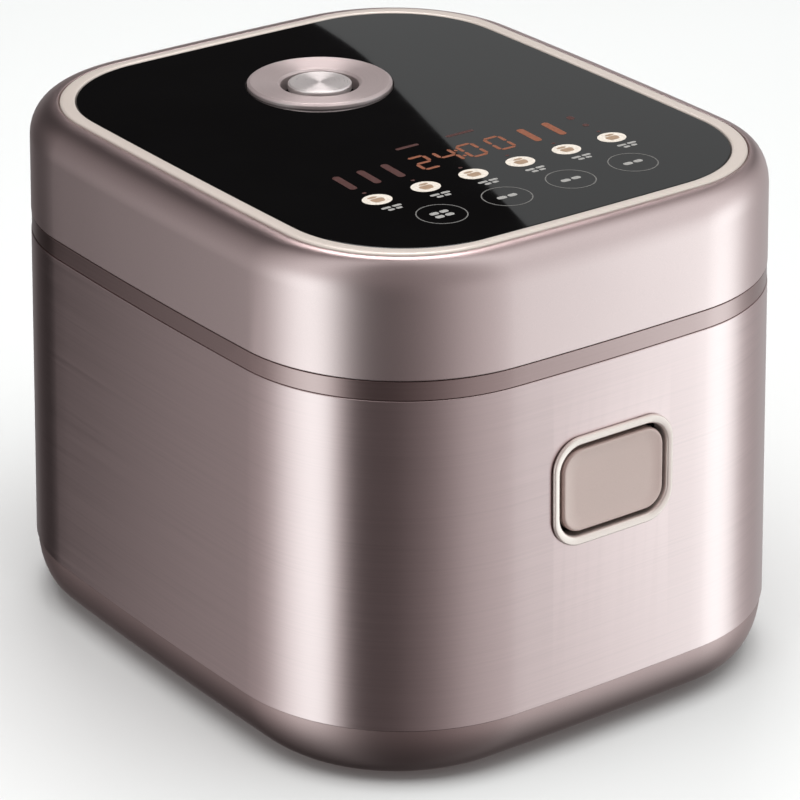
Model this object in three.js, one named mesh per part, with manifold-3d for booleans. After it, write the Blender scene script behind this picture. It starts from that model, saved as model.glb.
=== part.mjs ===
// A free-standing induction rice cooker: pot, body, hinged lid, lift-off steam vent and release latch.
// Millimetres, +Z up, X across the front, and the front faces -Y. The cooker stands on z = 0.

import * as THREE from "three";
import { mergeVertices } from "three/addons/utils/BufferGeometryUtils.js";
import Module from "manifold-3d";

const wasm = await Module();
wasm.setup();

// ---- Driving dimensions ----

const GAP = 0.3; // between pieces that touch
const OUTLINE = { width: 250, depth: 296.8, corner: 77.6, bow: 4.65 }; // plan where the lid meets the body
const FLARE = 3.6 / 152.5; // how much each side moves out for each millimetre down
const SHEET = 1; // steel sheet of the outer shell
const WALL = 2.4; // moulded plastic walls

const FOOT_HEIGHT = 2.7;
const PAN_BOTTOM = FOOT_HEIGHT + GAP;
const PAN_TOP = 27.9;
const PAN_FLOOR = { width: 223, depth: 266, corner: 53, bow: 2 };
const SHELL_BOTTOM = PAN_TOP + GAP;
const SHELL_TOP = 172.3;
const DECK_TOP = 180.2;
const LID_BOTTOM = 180.7;
const LID_SHOULDER = 214;
const GLASS_TOP = 229.5;
const LID_TOP = GLASS_TOP - 0.4;
const LEDGE_TOP = GLASS_TOP - 6.2; // the sunken ledge that the trim and the glass lie on

const TRIM = { width: 221, depth: 264.4, corner: 65.5, bow: 1.9 };
const GLASS = { width: 208.4, depth: 253.6, corner: 59.6, bow: 1.7 };
const LEDGE = { width: 193, depth: 238, corner: 52, bow: 1.5 }; // opening under the glass
const ROOF = { width: 225, depth: 268, corner: 68, bow: 1.9 }; // hollow under the lid's shoulder
const PANEL_Y = -3.4; // the glass sits a little forward of the lid's middle

const VENT_Y = 53.6;
const VENT_RADIUS = 31.6;
const DISC_RADIUS = 13.8;
const WELL_RADIUS = 25.8;

const POT_Y = -10;
const POT_BOTTOM = 46.5;
const POT_FLAT = 58; // radius of the pot's flat bottom
const POT_BEND = 40; // radius of the round between its bottom and its wall
const POT_RIM = 173.4;
const POT_FLANGE = 110;
const POT_WALL = 2.2;
const BEND_Z = POT_BOTTOM + POT_BEND;

const HINGE_Y = 157;
const HINGE_Z = 182;
const KNUCKLE_HALF = 38;
const EAR_RADIUS = 7;
const PIN_RADIUS = 2;

const BUTTON_Z = 119.7;
const BEZEL = { width: 61.6, height: 47.5, corner: 13.2 };
const BEZEL_SLEEVE = { width: 57.8, height: 43.7, corner: 11.3 };
const BEZEL_OPENING = { width: 55.1, height: 39.8, corner: 10.5 };
const BUTTON = { width: 51.6, height: 36, corner: 8.9 };
const STEM_X = 14; // two stems behind the button carry its springs
const LATCH_Y = -134;
const LATCH_Z = 146;

const FAN_Y = 84;
const FAN_SIDE = 76;
const INLET_Z = 50;
const INLET_FLANGE = { width: 34, height: 28, corner: 3 };
const INLET_BODY = { width: 30, height: 24, corner: 2 };
const INLET_SOCKET = { width: 24.6, height: 17.6, corner: 3 };
const PIN_PLACES = [
  ["inlet_pin_line", -7, -2.5],
  ["inlet_pin_neutral", 7, -2.5],
  ["inlet_pin_earth", 0, 3.5],
];
const SCREW_SPREAD = 65; // half the spacing of the base screws, both ways
const SCREW_BORE = 1.9;

// ---- Finishes ----

const finish = (color, roughness, metalness) =>
  new THREE.MeshStandardMaterial({ color, roughness, metalness });
const brushedRose = finish(0xb08c84, 0.35, 0.9);
const satinRose = finish(0xb3928a, 0.45, 0.8);
const baseRose = finish(0x8a6258, 0.4, 0.7);
const bandRose = finish(0x6b4c47, 0.35, 0.6);
const champagne = finish(0xe1cdbe, 0.3, 0.9);
const satinChampagne = finish(0xb9aaa0, 0.45, 0.7);
const blackGlass = finish(0x0a0a0b, 0.08, 0);
const blackPlastic = finish(0x1b1a1a, 0.6, 0);
const greyPlastic = finish(0x6d6b69, 0.6, 0);
const whitePlastic = finish(0xe6e2dc, 0.5, 0);
const silicone = finish(0xd8d2ca, 0.7, 0);
const rubber = finish(0x242322, 0.85, 0);
const steel = finish(0xb9babc, 0.35, 1);
const aluminium = finish(0xc9cacc, 0.45, 1);
const potCoat = finish(0x2e2b2a, 0.5, 0.2);
const copper = finish(0xb06a3c, 0.4, 0.9);
const ferrite = finish(0x2c2c2f, 0.8, 0);
const circuit = finish(0x1f5a3a, 0.55, 0);

// ---- Solids ----

function solidOf(geometry) {
  const bare = geometry.clone();
  bare.deleteAttribute("normal");
  bare.deleteAttribute("uv");
  const merged = mergeVertices(bare, 1e-3);
  return new wasm.Manifold(
    new wasm.Mesh({
      numProp: 3,
      vertProperties: merged.attributes.position.array,
      triVerts: new Uint32Array(merged.index.array),
    }),
  );
}

function geometryOf(solid) {
  const mesh = solid.getMesh();
  const geometry = new THREE.BufferGeometry();
  geometry.setAttribute("position", new THREE.BufferAttribute(mesh.vertProperties, 3));
  geometry.setIndex(new THREE.BufferAttribute(mesh.triVerts, 1));
  geometry.computeVertexNormals();
  return geometry;
}

const join = (...solids) => solids.reduce((all, next) => all.add(next));
const cut = (body, ...tools) => tools.reduce((left, tool) => left.subtract(tool), body);

// The places of four pieces, one in each corner of a rectangle.
const corners = (x, y) => [[-x, -y], [x, -y], [x, y], [-x, y]];
const SCREW_PLACES = corners(SCREW_SPREAD, SCREW_SPREAD);

function box(low, high) {
  const size = high.map((value, axis) => value - low[axis]);
  const geometry = new THREE.BoxGeometry(...size);
  geometry.translate(...low.map((value, axis) => value + size[axis] / 2));
  return solidOf(geometry);
}

// A solid of revolution about Z. The profile is a list of [radius, z], closed or ending on the axis.
function turned(profile, segments = 30) {
  const points = profile.map(([radius, z]) => new THREE.Vector2(radius, z));
  if (profile[0][0] > 0 || profile.at(-1)[0] > 0) points.push(points[0].clone());
  if (THREE.ShapeUtils.area(points) < 0) points.reverse();
  const geometry = new THREE.LatheGeometry(points, segments);
  geometry.rotateX(Math.PI / 2);
  return solidOf(geometry);
}

const disc = (radius, low, high, segments = 30) =>
  turned([[0, low], [radius, low], [radius, high], [0, high]], segments);
const tube = (inner, outer, low, high, segments = 30) =>
  turned([[inner, low], [outer, low], [outer, high], [inner, high]], segments);

// A rod along X, through y and z.
function rodX(radius, low, high, y, z, segments = 16) {
  const geometry = new THREE.CylinderGeometry(radius, radius, high - low, segments);
  geometry.rotateZ(Math.PI / 2);
  geometry.translate((low + high) / 2, y, z);
  return solidOf(geometry);
}

// A rounded rectangle standing in the XZ plane, from y = front to y = back, centred on x = 0.
function plateY({ width, height, corner }, front, back, z) {
  const shape = new THREE.Shape();
  const x = width / 2 - corner;
  const y = height / 2 - corner;
  shape.absarc(x, y, corner, 0, Math.PI / 2);
  shape.absarc(-x, y, corner, Math.PI / 2, Math.PI);
  shape.absarc(-x, -y, corner, Math.PI, Math.PI * 1.5);
  shape.absarc(x, -y, corner, Math.PI * 1.5, Math.PI * 2);
  const depth = back - front;
  const geometry = new THREE.ExtrudeGeometry(shape, { depth, bevelEnabled: false, curveSegments: 4 });
  geometry.rotateX(Math.PI / 2);
  geometry.translate(0, back, z);
  return solidOf(geometry);
}

// A side profile of [y, z] points, from x = low to x = high.
function profileX(points, low, high) {
  const shape = new THREE.Shape(points.map(([y, z]) => new THREE.Vector2(y, z)));
  const geometry = new THREE.ExtrudeGeometry(shape, { depth: high - low, bevelEnabled: false });
  geometry.rotateY(Math.PI / 2);
  geometry.rotateX(Math.PI / 2);
  geometry.translate(low, 0, 0);
  return solidOf(geometry);
}

// A plan of [x, y] points, from z = low to z = high.
function planZ(points, low, high) {
  const shape = new THREE.Shape(points.map(([x, y]) => new THREE.Vector2(x, y)));
  const geometry = new THREE.ExtrudeGeometry(shape, { depth: high - low, bevelEnabled: false });
  geometry.translate(0, 0, low);
  return solidOf(geometry);
}

// A rounded rectangle whose four sides are bowed outwards, as [x, y] points anticlockwise.
function bowedOutline({ width, depth, corner, bow }) {
  const a = width / 2;
  const b = depth / 2;
  const sideRadius = (b * b + bow * bow) / (2 * bow);
  const endRadius = (a * a + bow * bow) / (2 * bow);
  const sideCentre = a - sideRadius;
  const endCentre = b - endRadius;
  let x = a - corner;
  let y = b - corner;
  for (let pass = 0; pass < 80; pass++) {
    const sideError = Math.hypot(x - sideCentre, y) - (sideRadius - corner);
    const endError = Math.hypot(x, y - endCentre) - (endRadius - corner);
    x -= sideError;
    y -= endError;
  }
  const sideEnd = Math.atan2(y, x - sideCentre);
  const cornerEnd = Math.atan2(y - endCentre, x);
  const quarter = [];
  const sweep = (cx, cy, radius, from, to, steps) => {
    for (let i = 0; i < steps; i++) {
      const angle = from + ((to - from) * i) / steps;
      quarter.push([cx + radius * Math.cos(angle), cy + radius * Math.sin(angle)]);
    }
  };
  sweep(sideCentre, 0, sideRadius, 0, sideEnd, 2);
  sweep(x, y, corner, sideEnd, cornerEnd, 5);
  sweep(0, endCentre, endRadius, cornerEnd, Math.PI / 2, 2);
  quarter.push([0, b]);
  const half = [...quarter, ...quarter.slice(1, -1).reverse().map(([px, py]) => [-px, py]), [-a, 0]];
  return [...half, ...half.slice(1, -1).reverse().map(([px, py]) => [px, -py])];
}

const inset = (plan, by) => ({
  width: plan.width - 2 * by,
  depth: plan.depth - 2 * by,
  corner: plan.corner - by,
  bow: plan.bow,
});

const between = (from, to, share) =>
  Object.fromEntries(Object.keys(from).map((key) => [key, from[key] + (to[key] - from[key]) * share]));

// The flared body's plan at a height, moved inwards by a distance.
const planAt = (z, by = 0) => inset(OUTLINE, by - FLARE * (LID_BOTTOM - z));
const frontAt = (z) => -planAt(z).depth / 2;
const backAt = (z) => planAt(z).depth / 2;

// A closed solid through a stack of [plan, z] sections, lowest first.
function lofted(sections) {
  const rings = sections.map(([plan, z]) => bowedOutline(plan).map(([x, y]) => [x, y, z]));
  const count = rings[0].length;
  const points = rings.flat();
  const low = points.push([0, 0, sections[0][1]]) - 1;
  const high = points.push([0, 0, sections.at(-1)[1]]) - 1;
  const faces = [];
  for (let ring = 0; ring + 1 < rings.length; ring++) {
    for (let i = 0; i < count; i++) {
      const a = ring * count + i;
      const b = ring * count + ((i + 1) % count);
      faces.push(a, b, b + count, a, b + count, a + count);
    }
  }
  const last = (rings.length - 1) * count;
  for (let i = 0; i < count; i++) {
    const next = (i + 1) % count;
    faces.push(low, next, i, high, last + i, last + next);
  }
  const geometry = new THREE.BufferGeometry();
  geometry.setAttribute("position", new THREE.Float32BufferAttribute(points.flat(), 3));
  geometry.setIndex(faces);
  return solidOf(geometry);
}

const prism = (plan, low, high) => lofted([[plan, low], [plan, high]]);

// The flared body between two heights, its sides moved inwards by a distance.
const flared = (by, low, high) => lofted([[planAt(low, by), low], [planAt(high, by), high]]);

// A coil spring about Z, standing from z = low to z = high.
function coilSpring(radius, wire, low, high, turns) {
  const steps = turns * 6;
  const rise = high - low - 2 * wire;
  const points = [];
  for (let i = 0; i <= steps; i++) {
    const angle = (i / 6) * 2 * Math.PI;
    points.push(new THREE.Vector3(
      radius * Math.cos(angle),
      radius * Math.sin(angle),
      low + wire + (rise * i) / steps,
    ));
  }
  const section = new THREE.Shape(
    Array.from({ length: 4 }, (_, i) => new THREE.Vector2(
      wire * Math.cos((i * Math.PI) / 2),
      wire * Math.sin((i * Math.PI) / 2),
    )),
  );
  return new THREE.ExtrudeGeometry(section, { steps, extrudePath: new THREE.CatmullRomCurve3(points) });
}

// ---- The scene graph ----

const cooker = new THREE.Group();
const lid = new THREE.Group();
const vent = new THREE.Group();
vent.position.set(0, VENT_Y, GLASS_TOP);
lid.add(vent);
cooker.add(lid);

function place(parent, name, shape, material, position = [0, 0, 0]) {
  const geometry = shape.isBufferGeometry ? shape : geometryOf(shape);
  const mesh = new THREE.Mesh(geometry, material);
  mesh.name = name;
  mesh.position.set(...position);
  parent.add(mesh);
  return mesh;
}

const moved = (solid, x, y, z = 0) => solid.translate([x, y, z]);

// Tips an upright piece about (y, z) so that it lies along the flared wall at the front or the back.
function tipped(solid, y, z) {
  const degrees = (Math.sign(y) * Math.atan(FLARE) * 180) / Math.PI;
  return solid.translate([0, -y, -z]).rotate([degrees, 0, 0]).translate([0, y, z]);
}

// ---- Body ----

const grown = (plate, by) => ({
  width: plate.width + 2 * by,
  height: plate.height + 2 * by,
  corner: plate.corner + by,
});

function outerShell() {
  const sleeve = cut(
    flared(0, SHELL_BOTTOM, SHELL_TOP),
    flared(SHEET, SHELL_BOTTOM - 1, SHELL_TOP + 1),
  );
  const front = frontAt(BUTTON_Z);
  const back = backAt(INLET_Z);
  const buttonHole = plateY(grown(BEZEL_SLEEVE, GAP), front - 3, front + 6, BUTTON_Z);
  const inletHole = plateY(grown(INLET_BODY, GAP), back - 6, back + 3, INLET_Z);
  return cut(sleeve, buttonHole, inletHole);
}

function basePan() {
  const rim = planAt(PAN_TOP, 0.6);
  const curve = [0, 0.4, 0.75, 1].map((share) => {
    const angle = (share * Math.PI) / 2;
    const plan = between(PAN_FLOOR, rim, Math.sin(angle));
    return [plan, PAN_BOTTOM + (PAN_TOP - PAN_BOTTOM) * (1 - Math.cos(angle))];
  });
  const hollow = curve.map(([plan, z], i) => [inset(plan, WALL), i ? z + 1 : PAN_BOTTOM + 2.5]);
  const lip = cut(
    flared(SHEET + GAP, PAN_TOP - 3, PAN_TOP + 8),
    flared(SHEET + GAP + 1.8, PAN_TOP - 4, PAN_TOP + 9),
  );
  const post = disc(6, 4, 20, 12);
  const posts = SCREW_PLACES.map(([x, y]) => moved(post, x, y + POT_Y));
  const rails = [-1, 1].map((side) => {
    const x = side * 56;
    const rail = box([x - 4, 98, 4], [x + 4, 110, 76]);
    return cut(rail, box([x - 5, 103.6, 68], [x + 5, 105.9, 80]));
  });
  const pan = join(cut(lofted(curve), lofted(hollow)), lip, ...posts, ...rails);
  const screwHole = join(disc(4, 0, 9, 12), disc(SCREW_BORE, 8, 24, 8));
  const screwHoles = SCREW_PLACES.map(([x, y]) => moved(screwHole, x, y + POT_Y));
  const slots = [-3, -2, -1, 0, 1, 2, 3].map((index) => {
    const reach = Math.sqrt(32 ** 2 - (index * 9) ** 2);
    return box([index * 9 - 2.2, FAN_Y - reach, 0], [index * 9 + 2.2, FAN_Y + reach, 7]);
  });
  return cut(pan, ...screwHoles, ...slots);
}

function upperCollar() {
  const outside = flared(SHEET + GAP, 160, DECK_TOP);
  const ring = moved(tube(107, 115, 160, DECK_TOP + 1), 0, POT_Y);
  const underside = cut(flared(SHEET + GAP + WALL, 159, DECK_TOP - WALL), ring);
  const mouth = moved(join(disc(112, 171, DECK_TOP + 1), disc(107, 159, 172)), 0, POT_Y);
  const latchSlot = box([-11, -143.6, 165], [11, -126.8, DECK_TOP + 1]);
  const ears = [-1, 1].map((side) => {
    const low = Math.min(side * (KNUCKLE_HALF + 1), side * (KNUCKLE_HALF + 14));
    const high = low + 13;
    const arm = box([low, 140, SHELL_TOP + 1], [high, HINGE_Y, DECK_TOP]);
    return join(arm, rodX(EAR_RADIUS, low, high, HINGE_Y, HINGE_Z));
  });
  const solid = join(cut(outside, underside), ...ears);
  return cut(solid, mouth, latchSlot, rodX(PIN_RADIUS + 0.35, -60, 60, HINGE_Y, HINGE_Z));
}

// Points on the round of the pot's bottom, offset outwards by a distance, from straight down to an angle.
function bend(offset, lastDegrees, steps) {
  return Array.from({ length: steps + 1 }, (_, i) => {
    const angle = (-90 + (lastDegrees * i) / steps) * (Math.PI / 180);
    const radius = POT_BEND + offset;
    return [POT_FLAT + radius * Math.cos(angle), BEND_Z + radius * Math.sin(angle)];
  });
}

function coilCarrier() {
  const inner = bend(5.3, 90, 4);
  const outer = bend(8, 90, 4);
  const bowl = turned([[19.8, inner[0][1]], ...inner, ...outer.reverse(), [19.8, POT_BOTTOM - 8]]);
  const bowlSpace = turned([[0, inner[0][1]], ...inner, [0, BEND_Z]]);
  const leg = cut(disc(5.5, 20.3, 62, 12), disc(SCREW_BORE, 0, 29, 8));
  const legs = SCREW_PLACES.map(([x, y]) => cut(moved(leg, x, y), bowlSpace));
  return join(bowl, ...legs);
}

const inductionCoil = () => {
  const top = bend(8.8, 30, 2);
  const bottom = bend(13.5, 30, 2);
  return turned([[28, top[0][1]], ...top, ...bottom.reverse(), [28, BEND_Z - POT_BEND - 13.5]]);
};

const chamberLiner = () => tube(104.8, 106, BEND_Z + GAP, 170.7);

const sensorHolder = () =>
  turned([
    [5, 26], [19.4, 26], [19.4, 35], [24, 35], [24, 38.1], [19.4, 38.1],
    [19.4, 41], [14, 41], [14, 28], [5, 28],
  ], 24);

const sensorCap = () =>
  turned([[0, 44.2], [11.4, 44.2], [11.4, 35.6], [13.3, 35.6], [13.3, 46.2], [0, 46.2]], 24);

function powerBoard() {
  const board = box([-62, 104, 68.6], [62, 105.6, 156]);
  const parts = [
    box([-56, 99, 126], [-38, 104.5, 148]),
    box([-30, 99, 136], [-8, 104.5, 150]),
    box([40, 105, 80], [56, 121, 104]),
    box([42, 105, 116], [54, 117, 134]),
    box([-58, 105, 84], [-42, 118, 110]),
  ];
  return join(board, ...parts);
}

function heatSink() {
  const half = 34;
  const fins = 8;
  const pitch = (2 * half) / (fins - 0.6);
  const outline = [[-half, 106], [half, 106]];
  for (let i = 0; i < fins; i++) {
    const right = half - i * pitch;
    const left = right - pitch * 0.4;
    if (i > 0) outline.push([right, 110]);
    outline.push([right, 130], [left, 130]);
    if (i < fins - 1) outline.push([left, 110]);
  }
  return planZ(outline, 82, 150);
}

function fanFrame() {
  const half = FAN_SIDE / 2;
  const frame = cut(box([-half, -half, 5.8], [half, half, 20.8]), disc(half - 2, 0, 30));
  const struts = [0, 1, 2].map((index) => {
    const arm = box([9, -1.6, 5.8], [half - 1, 1.6, 7.8]);
    return arm.rotate([0, 0, 30 + index * 120]);
  });
  return join(frame, disc(12, 5.8, 7.8, 24), ...struts);
}

function fanRotor() {
  const blades = Array.from({ length: 7 }, (_, index) => {
    const blade = box([-5.5, 10, -0.8], [5.5, 33.5, 0.8]).rotate([0, 38, 0]);
    return moved(blade, 0, 0, 14.4).rotate([0, 0, (index * 360) / 7]);
  });
  return join(disc(13, 8.4, 19.8, 24), ...blades);
}

function powerInlet() {
  const back = backAt(INLET_Z);
  const flange = tipped(plateY(INLET_FLANGE, back + GAP, back + 1.8, INLET_Z), back, INLET_Z);
  const body = plateY(INLET_BODY, back - 19, back + 1, INLET_Z);
  const socket = plateY(INLET_SOCKET, back - 15, back + 3, INLET_Z);
  const pinHoles = PIN_PLACES.map(([, x, z]) =>
    box([x - 1.5, back - 20, INLET_Z + z - 2.5], [x + 1.5, back - 14, INLET_Z + z + 2.5]),
  );
  return cut(join(flange, body), socket, ...pinHoles);
}

const inletPin = () => box([-1.1, -24, -2.1], [1.1, -3, 2.1]);

function buttonBezel() {
  const front = frontAt(BUTTON_Z);
  const flange = plateY(BEZEL, front - 1.5, front - GAP, BUTTON_Z);
  const sleeve = plateY(BEZEL_SLEEVE, front - 1, front + 5.5, BUTTON_Z);
  const opening = plateY(BEZEL_OPENING, front - 3, front + 8, BUTTON_Z);
  return tipped(cut(join(flange, sleeve), opening), front, BUTTON_Z);
}

function releaseButton() {
  const front = frontAt(BUTTON_Z);
  const cap = tipped(plateY(BUTTON, front - 0.9, front + 2.6, BUTTON_Z), front, BUTTON_Z);
  const nudge = box([-4, front + 2, 113.5], [4, -140, 118.5]);
  const stems = [-STEM_X, STEM_X].map((x) => {
    const stem = new THREE.CylinderGeometry(2, 2, 6, 12);
    stem.translate(x, front + 4, BUTTON_Z);
    return solidOf(stem);
  });
  return join(cap, nudge, ...stems);
}

function latchHook() {
  const lever = profileX([
    [LATCH_Y - 2.4, LATCH_Z - 3.6], [LATCH_Y - 2.4, 119], [-139.6, 118.6], [-139.6, 113.6], [-134.6, 113.6],
    [LATCH_Y + 1.2, 119], [LATCH_Y + 2.6, LATCH_Z - 3.4], [LATCH_Y + 3.2, LATCH_Z + 2.8], [-137.6, 156],
    [-137.6, 170.4], [-134.1, 170.4], [-134.1, 172.6], [-137.4, 176.2], [-140.2, 176.2], [-140.2, 154],
    [LATCH_Y - 3.6, LATCH_Z + 2],
  ], -4, 4);
  const boss = rodX(4.2, -4, 4, LATCH_Y, LATCH_Z);
  return cut(join(lever, boss), rodX(1.85, -9, 9, LATCH_Y, LATCH_Z));
}

function latchBracket() {
  const plate = box([-20, -124.4, 106], [20, -122.6, 158]);
  const ears = [[-8, -5], [5, 8]].map(([low, high]) => box([low, -138.4, 140], [high, -124, 152]));
  return cut(join(plate, ...ears), rodX(1.85, -20, 20, LATCH_Y, LATCH_Z));
}

// A countersunk screw that points up: its head is below, and its tip is on top.
const screw = (head, shank, length) =>
  turned([[0, 0], [head, 0], [head, 1.2], [shank, 2.4], [shank, length - 1.5], [0, length]], 8);

place(cooker, "outer_shell", outerShell(), brushedRose);
place(cooker, "base_pan", basePan(), baseRose);
place(cooker, "upper_collar", upperCollar(), bandRose);
place(cooker, "chamber_liner", chamberLiner(), aluminium, [0, POT_Y, 0]);
place(cooker, "coil_carrier", coilCarrier(), whitePlastic, [0, POT_Y, 0]);
place(cooker, "induction_coil", inductionCoil(), copper, [0, POT_Y, 0]);
[0, 1, 2, 3].forEach((index) => {
  const bar = place(cooker, `ferrite_bar_${index + 1}`, box([32, -6, 27.4], [82, 6, 32.6]), ferrite);
  bar.position.set(0, POT_Y, 0);
  bar.rotation.z = (index * Math.PI) / 2;
});
place(cooker, "sensor_holder", sensorHolder(), whitePlastic, [0, POT_Y, 0]);
place(cooker, "sensor_spring", coilSpring(8, 0.7, 28.3, 35.3, 3), steel, [0, POT_Y, 0]);
place(cooker, "sensor_cap", sensorCap(), aluminium, [0, POT_Y, 0]);
place(cooker, "power_board", powerBoard(), circuit);
place(cooker, "heat_sink", heatSink(), aluminium);
place(cooker, "fan_frame", fanFrame(), blackPlastic, [0, FAN_Y, 0]);
place(cooker, "fan_rotor", fanRotor(), greyPlastic, [0, FAN_Y, 0]);
place(cooker, "power_inlet", powerInlet(), blackPlastic);
PIN_PLACES.forEach(([name, x, z]) =>
  place(cooker, name, inletPin(), steel, [x, backAt(INLET_Z), INLET_Z + z]),
);
place(cooker, "button_bezel", buttonBezel(), champagne);
place(cooker, "release_button", releaseButton(), satinChampagne);
place(cooker, "latch_hook", latchHook(), steel);
place(cooker, "latch_bracket", latchBracket(), steel);
place(cooker, "latch_pin", rodX(1.5, -11, 11, LATCH_Y, LATCH_Z), steel);
const springBack = -124.7;
const springLength = springBack - frontAt(BUTTON_Z) - 3.2;
[["left", -STEM_X], ["right", STEM_X]].forEach(([side, x]) => {
  const spring = place(cooker, `button_spring_${side}`, coilSpring(3.2, 0.45, 0, springLength, 4), steel);
  spring.position.set(x, springBack, BUTTON_Z);
  spring.rotation.x = Math.PI / 2;
});
place(cooker, "hinge_pin", rodX(PIN_RADIUS, -53, 53, HINGE_Y, HINGE_Z), steel);
[["left", -37], ["right", 23]].forEach(([side, x]) => {
  const spring = place(cooker, `hinge_spring_${side}`, coilSpring(3.7, 0.7, 0, 14, 4), steel);
  spring.position.set(x, HINGE_Y, HINGE_Z);
  spring.rotation.y = Math.PI / 2;
});
corners(80, 98).forEach(([x, y], index) => {
  const foot = turned([[0, 0], [8, 0], [9, 1], [9, FOOT_HEIGHT], [0, FOOT_HEIGHT]], 16);
  place(cooker, `foot_${index + 1}`, foot, rubber, [x, y, 0]);
});
SCREW_PLACES.forEach(([x, y], index) => {
  place(cooker, `base_screw_${index + 1}`, screw(3.5, 1.6, 21), steel, [x, y + POT_Y, 6]);
});

// ---- Inner pot ----

function innerPot() {
  const outer = bend(0, 90, 4);
  const inner = bend(-POT_WALL, 90, 4);
  const top = POT_RIM - 2;
  return turned([
    [0, POT_BOTTOM], ...outer, [99.4, top - 3], [101, top], [POT_FLANGE, top], [POT_FLANGE, POT_RIM],
    [99.6, POT_RIM], [97.2, top - 3], ...inner.reverse(), [0, POT_BOTTOM + POT_WALL],
  ]);
}

place(cooker, "inner_pot", innerPot(), potCoat, [0, POT_Y, 0]);

// ---- Lid ----

const LINER_BOTTOM = 183.4;
const LINER_TOP = 186;
const LID_SCREW_PLACES = corners(106, 58);
const BOARD_POST_PLACES = corners(66, 40);
const BOARD_Y = -71;
const BOARD_Z = GLASS_TOP - 11.2;

const shiftedPrism = (plan, low, high) => moved(prism(plan, low, high), 0, PANEL_Y);

function lidShell() {
  const shoulder = [0, 30, 60, 90].map((degrees) => {
    const angle = (degrees * Math.PI) / 180;
    const plan = between(planAt(LID_SHOULDER), TRIM, 1 - Math.cos(angle));
    return [plan, LID_SHOULDER + (LID_TOP - LID_SHOULDER) * Math.sin(angle)];
  });
  const rim = [[planAt(LID_BOTTOM, 0.7), LID_BOTTOM], [planAt(LID_BOTTOM + 0.9), LID_BOTTOM + 0.9]];
  const outside = lofted([...rim, ...shoulder]);
  const hollow = lofted([
    [planAt(LID_BOTTOM - 1, WALL), LID_BOTTOM - 1],
    [planAt(LID_SHOULDER - 3, WALL), LID_SHOULDER - 3],
    [ROOF, LEDGE_TOP - 2.2],
  ]);
  const boss = disc(4.8, LINER_TOP + GAP, LEDGE_TOP - 1.5, 12);
  const bosses = LID_SCREW_PLACES.map(([x, y]) => moved(boss, x, y));
  const bores = LID_SCREW_PLACES.map(([x, y]) => moved(disc(SCREW_BORE, 180, 202, 8), x, y));
  const knuckleNotch = box([-KNUCKLE_HALF - 0.6, 130, 170], [KNUCKLE_HALF + 0.6, 160, 189.4]);
  return cut(
    join(cut(outside, hollow), ...bosses),
    shiftedPrism(inset(TRIM, -GAP), LEDGE_TOP, LID_TOP + 5),
    shiftedPrism(LEDGE, 200, LID_TOP + 5),
    knuckleNotch,
    ...bores,
  );
}

function rimTrim() {
  const frame = lofted([
    [TRIM, LEDGE_TOP + GAP],
    [TRIM, GLASS_TOP - 0.3],
    [inset(TRIM, 1), GLASS_TOP + 0.4],
  ]);
  const seat = prism(inset(GLASS, -GAP), GLASS_TOP - 4.3, GLASS_TOP + 3);
  return moved(cut(frame, seat, prism(inset(GLASS, 5), 200, GLASS_TOP + 3)), 0, PANEL_Y);
}

const glassPanel = () =>
  cut(
    shiftedPrism(GLASS, GLASS_TOP - 4, GLASS_TOP),
    moved(disc(VENT_RADIUS + 0.4, 200, 240), 0, VENT_Y),
  );

function lidLiner() {
  const plate = flared(WALL + GAP, LINER_BOTTOM, LINER_TOP);
  const skirt = moved(tube(107, 109, 176.5, LINER_TOP - 1), 0, POT_Y);
  const well = moved(tube(WELL_RADIUS, WELL_RADIUS + 2, LINER_BOTTOM, LEDGE_TOP - 0.5, 30), 0, VENT_Y);
  const post = disc(3.5, LINER_TOP - 1, BOARD_Z - GAP, 12);
  const posts = BOARD_POST_PLACES.map(([x, y]) => moved(post, x, y + BOARD_Y));
  const web = box([-KNUCKLE_HALF, 138, LINER_BOTTOM], [KNUCKLE_HALF, HINGE_Y, HINGE_Z + 6.5]);
  const knuckle = rodX(6.5, -KNUCKLE_HALF, KNUCKLE_HALF, HINGE_Y, HINGE_Z);
  const springPockets = [[-40, -22], [22, 40]].map(([low, high]) => rodX(5.2, low, high, HINGE_Y, HINGE_Z));
  const screwHoles = LID_SCREW_PLACES.map(([x, y]) => moved(disc(SCREW_BORE, 180, 190, 8), x, y));
  const steamHole = moved(disc(10, 180, 190, 24), 0, VENT_Y);
  const catchSlot = box([-8.4, -130.4, 180], [8.4, -128.1, 190]);
  return cut(
    join(plate, skirt, well, ...posts, web, knuckle),
    ...springPockets,
    ...screwHoles,
    steamHole,
    catchSlot,
    rodX(PIN_RADIUS + 0.35, -60, 60, HINGE_Y, HINGE_Z),
  );
}

// A bent strip: it lies on the liner, passes through it and ends in the ledge that the hook holds down.
const lidCatch = () =>
  profileX([
    [-130.1, 167], [-128.4, 167], [-128.4, LINER_TOP + GAP], [-120, LINER_TOP + GAP],
    [-120, LINER_TOP + 1.8], [-130.1, LINER_TOP + 1.8], [-130.1, 169.4], [-133.5, 169.4], [-133.5, 167],
  ], -8, 8);

const innerLidPlate = () =>
  cut(
    turned([[0, 179.6], [96, 179.6], [98, 178.8], [99.6, 178.8], [103, 179.6], [103, 181.2], [0, 181.2]]),
    moved(disc(9, 170, 190, 24), 0, VENT_Y - POT_Y),
  );

const innerLidGasket = () =>
  turned([
    [99.6, 173.7], [106, 173.7], [106, 182.2], [100.4, 182.2], [100.4, 181.5],
    [103.4, 181.5], [103.4, 178.4], [102.4, 177.4],
  ]);

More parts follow.
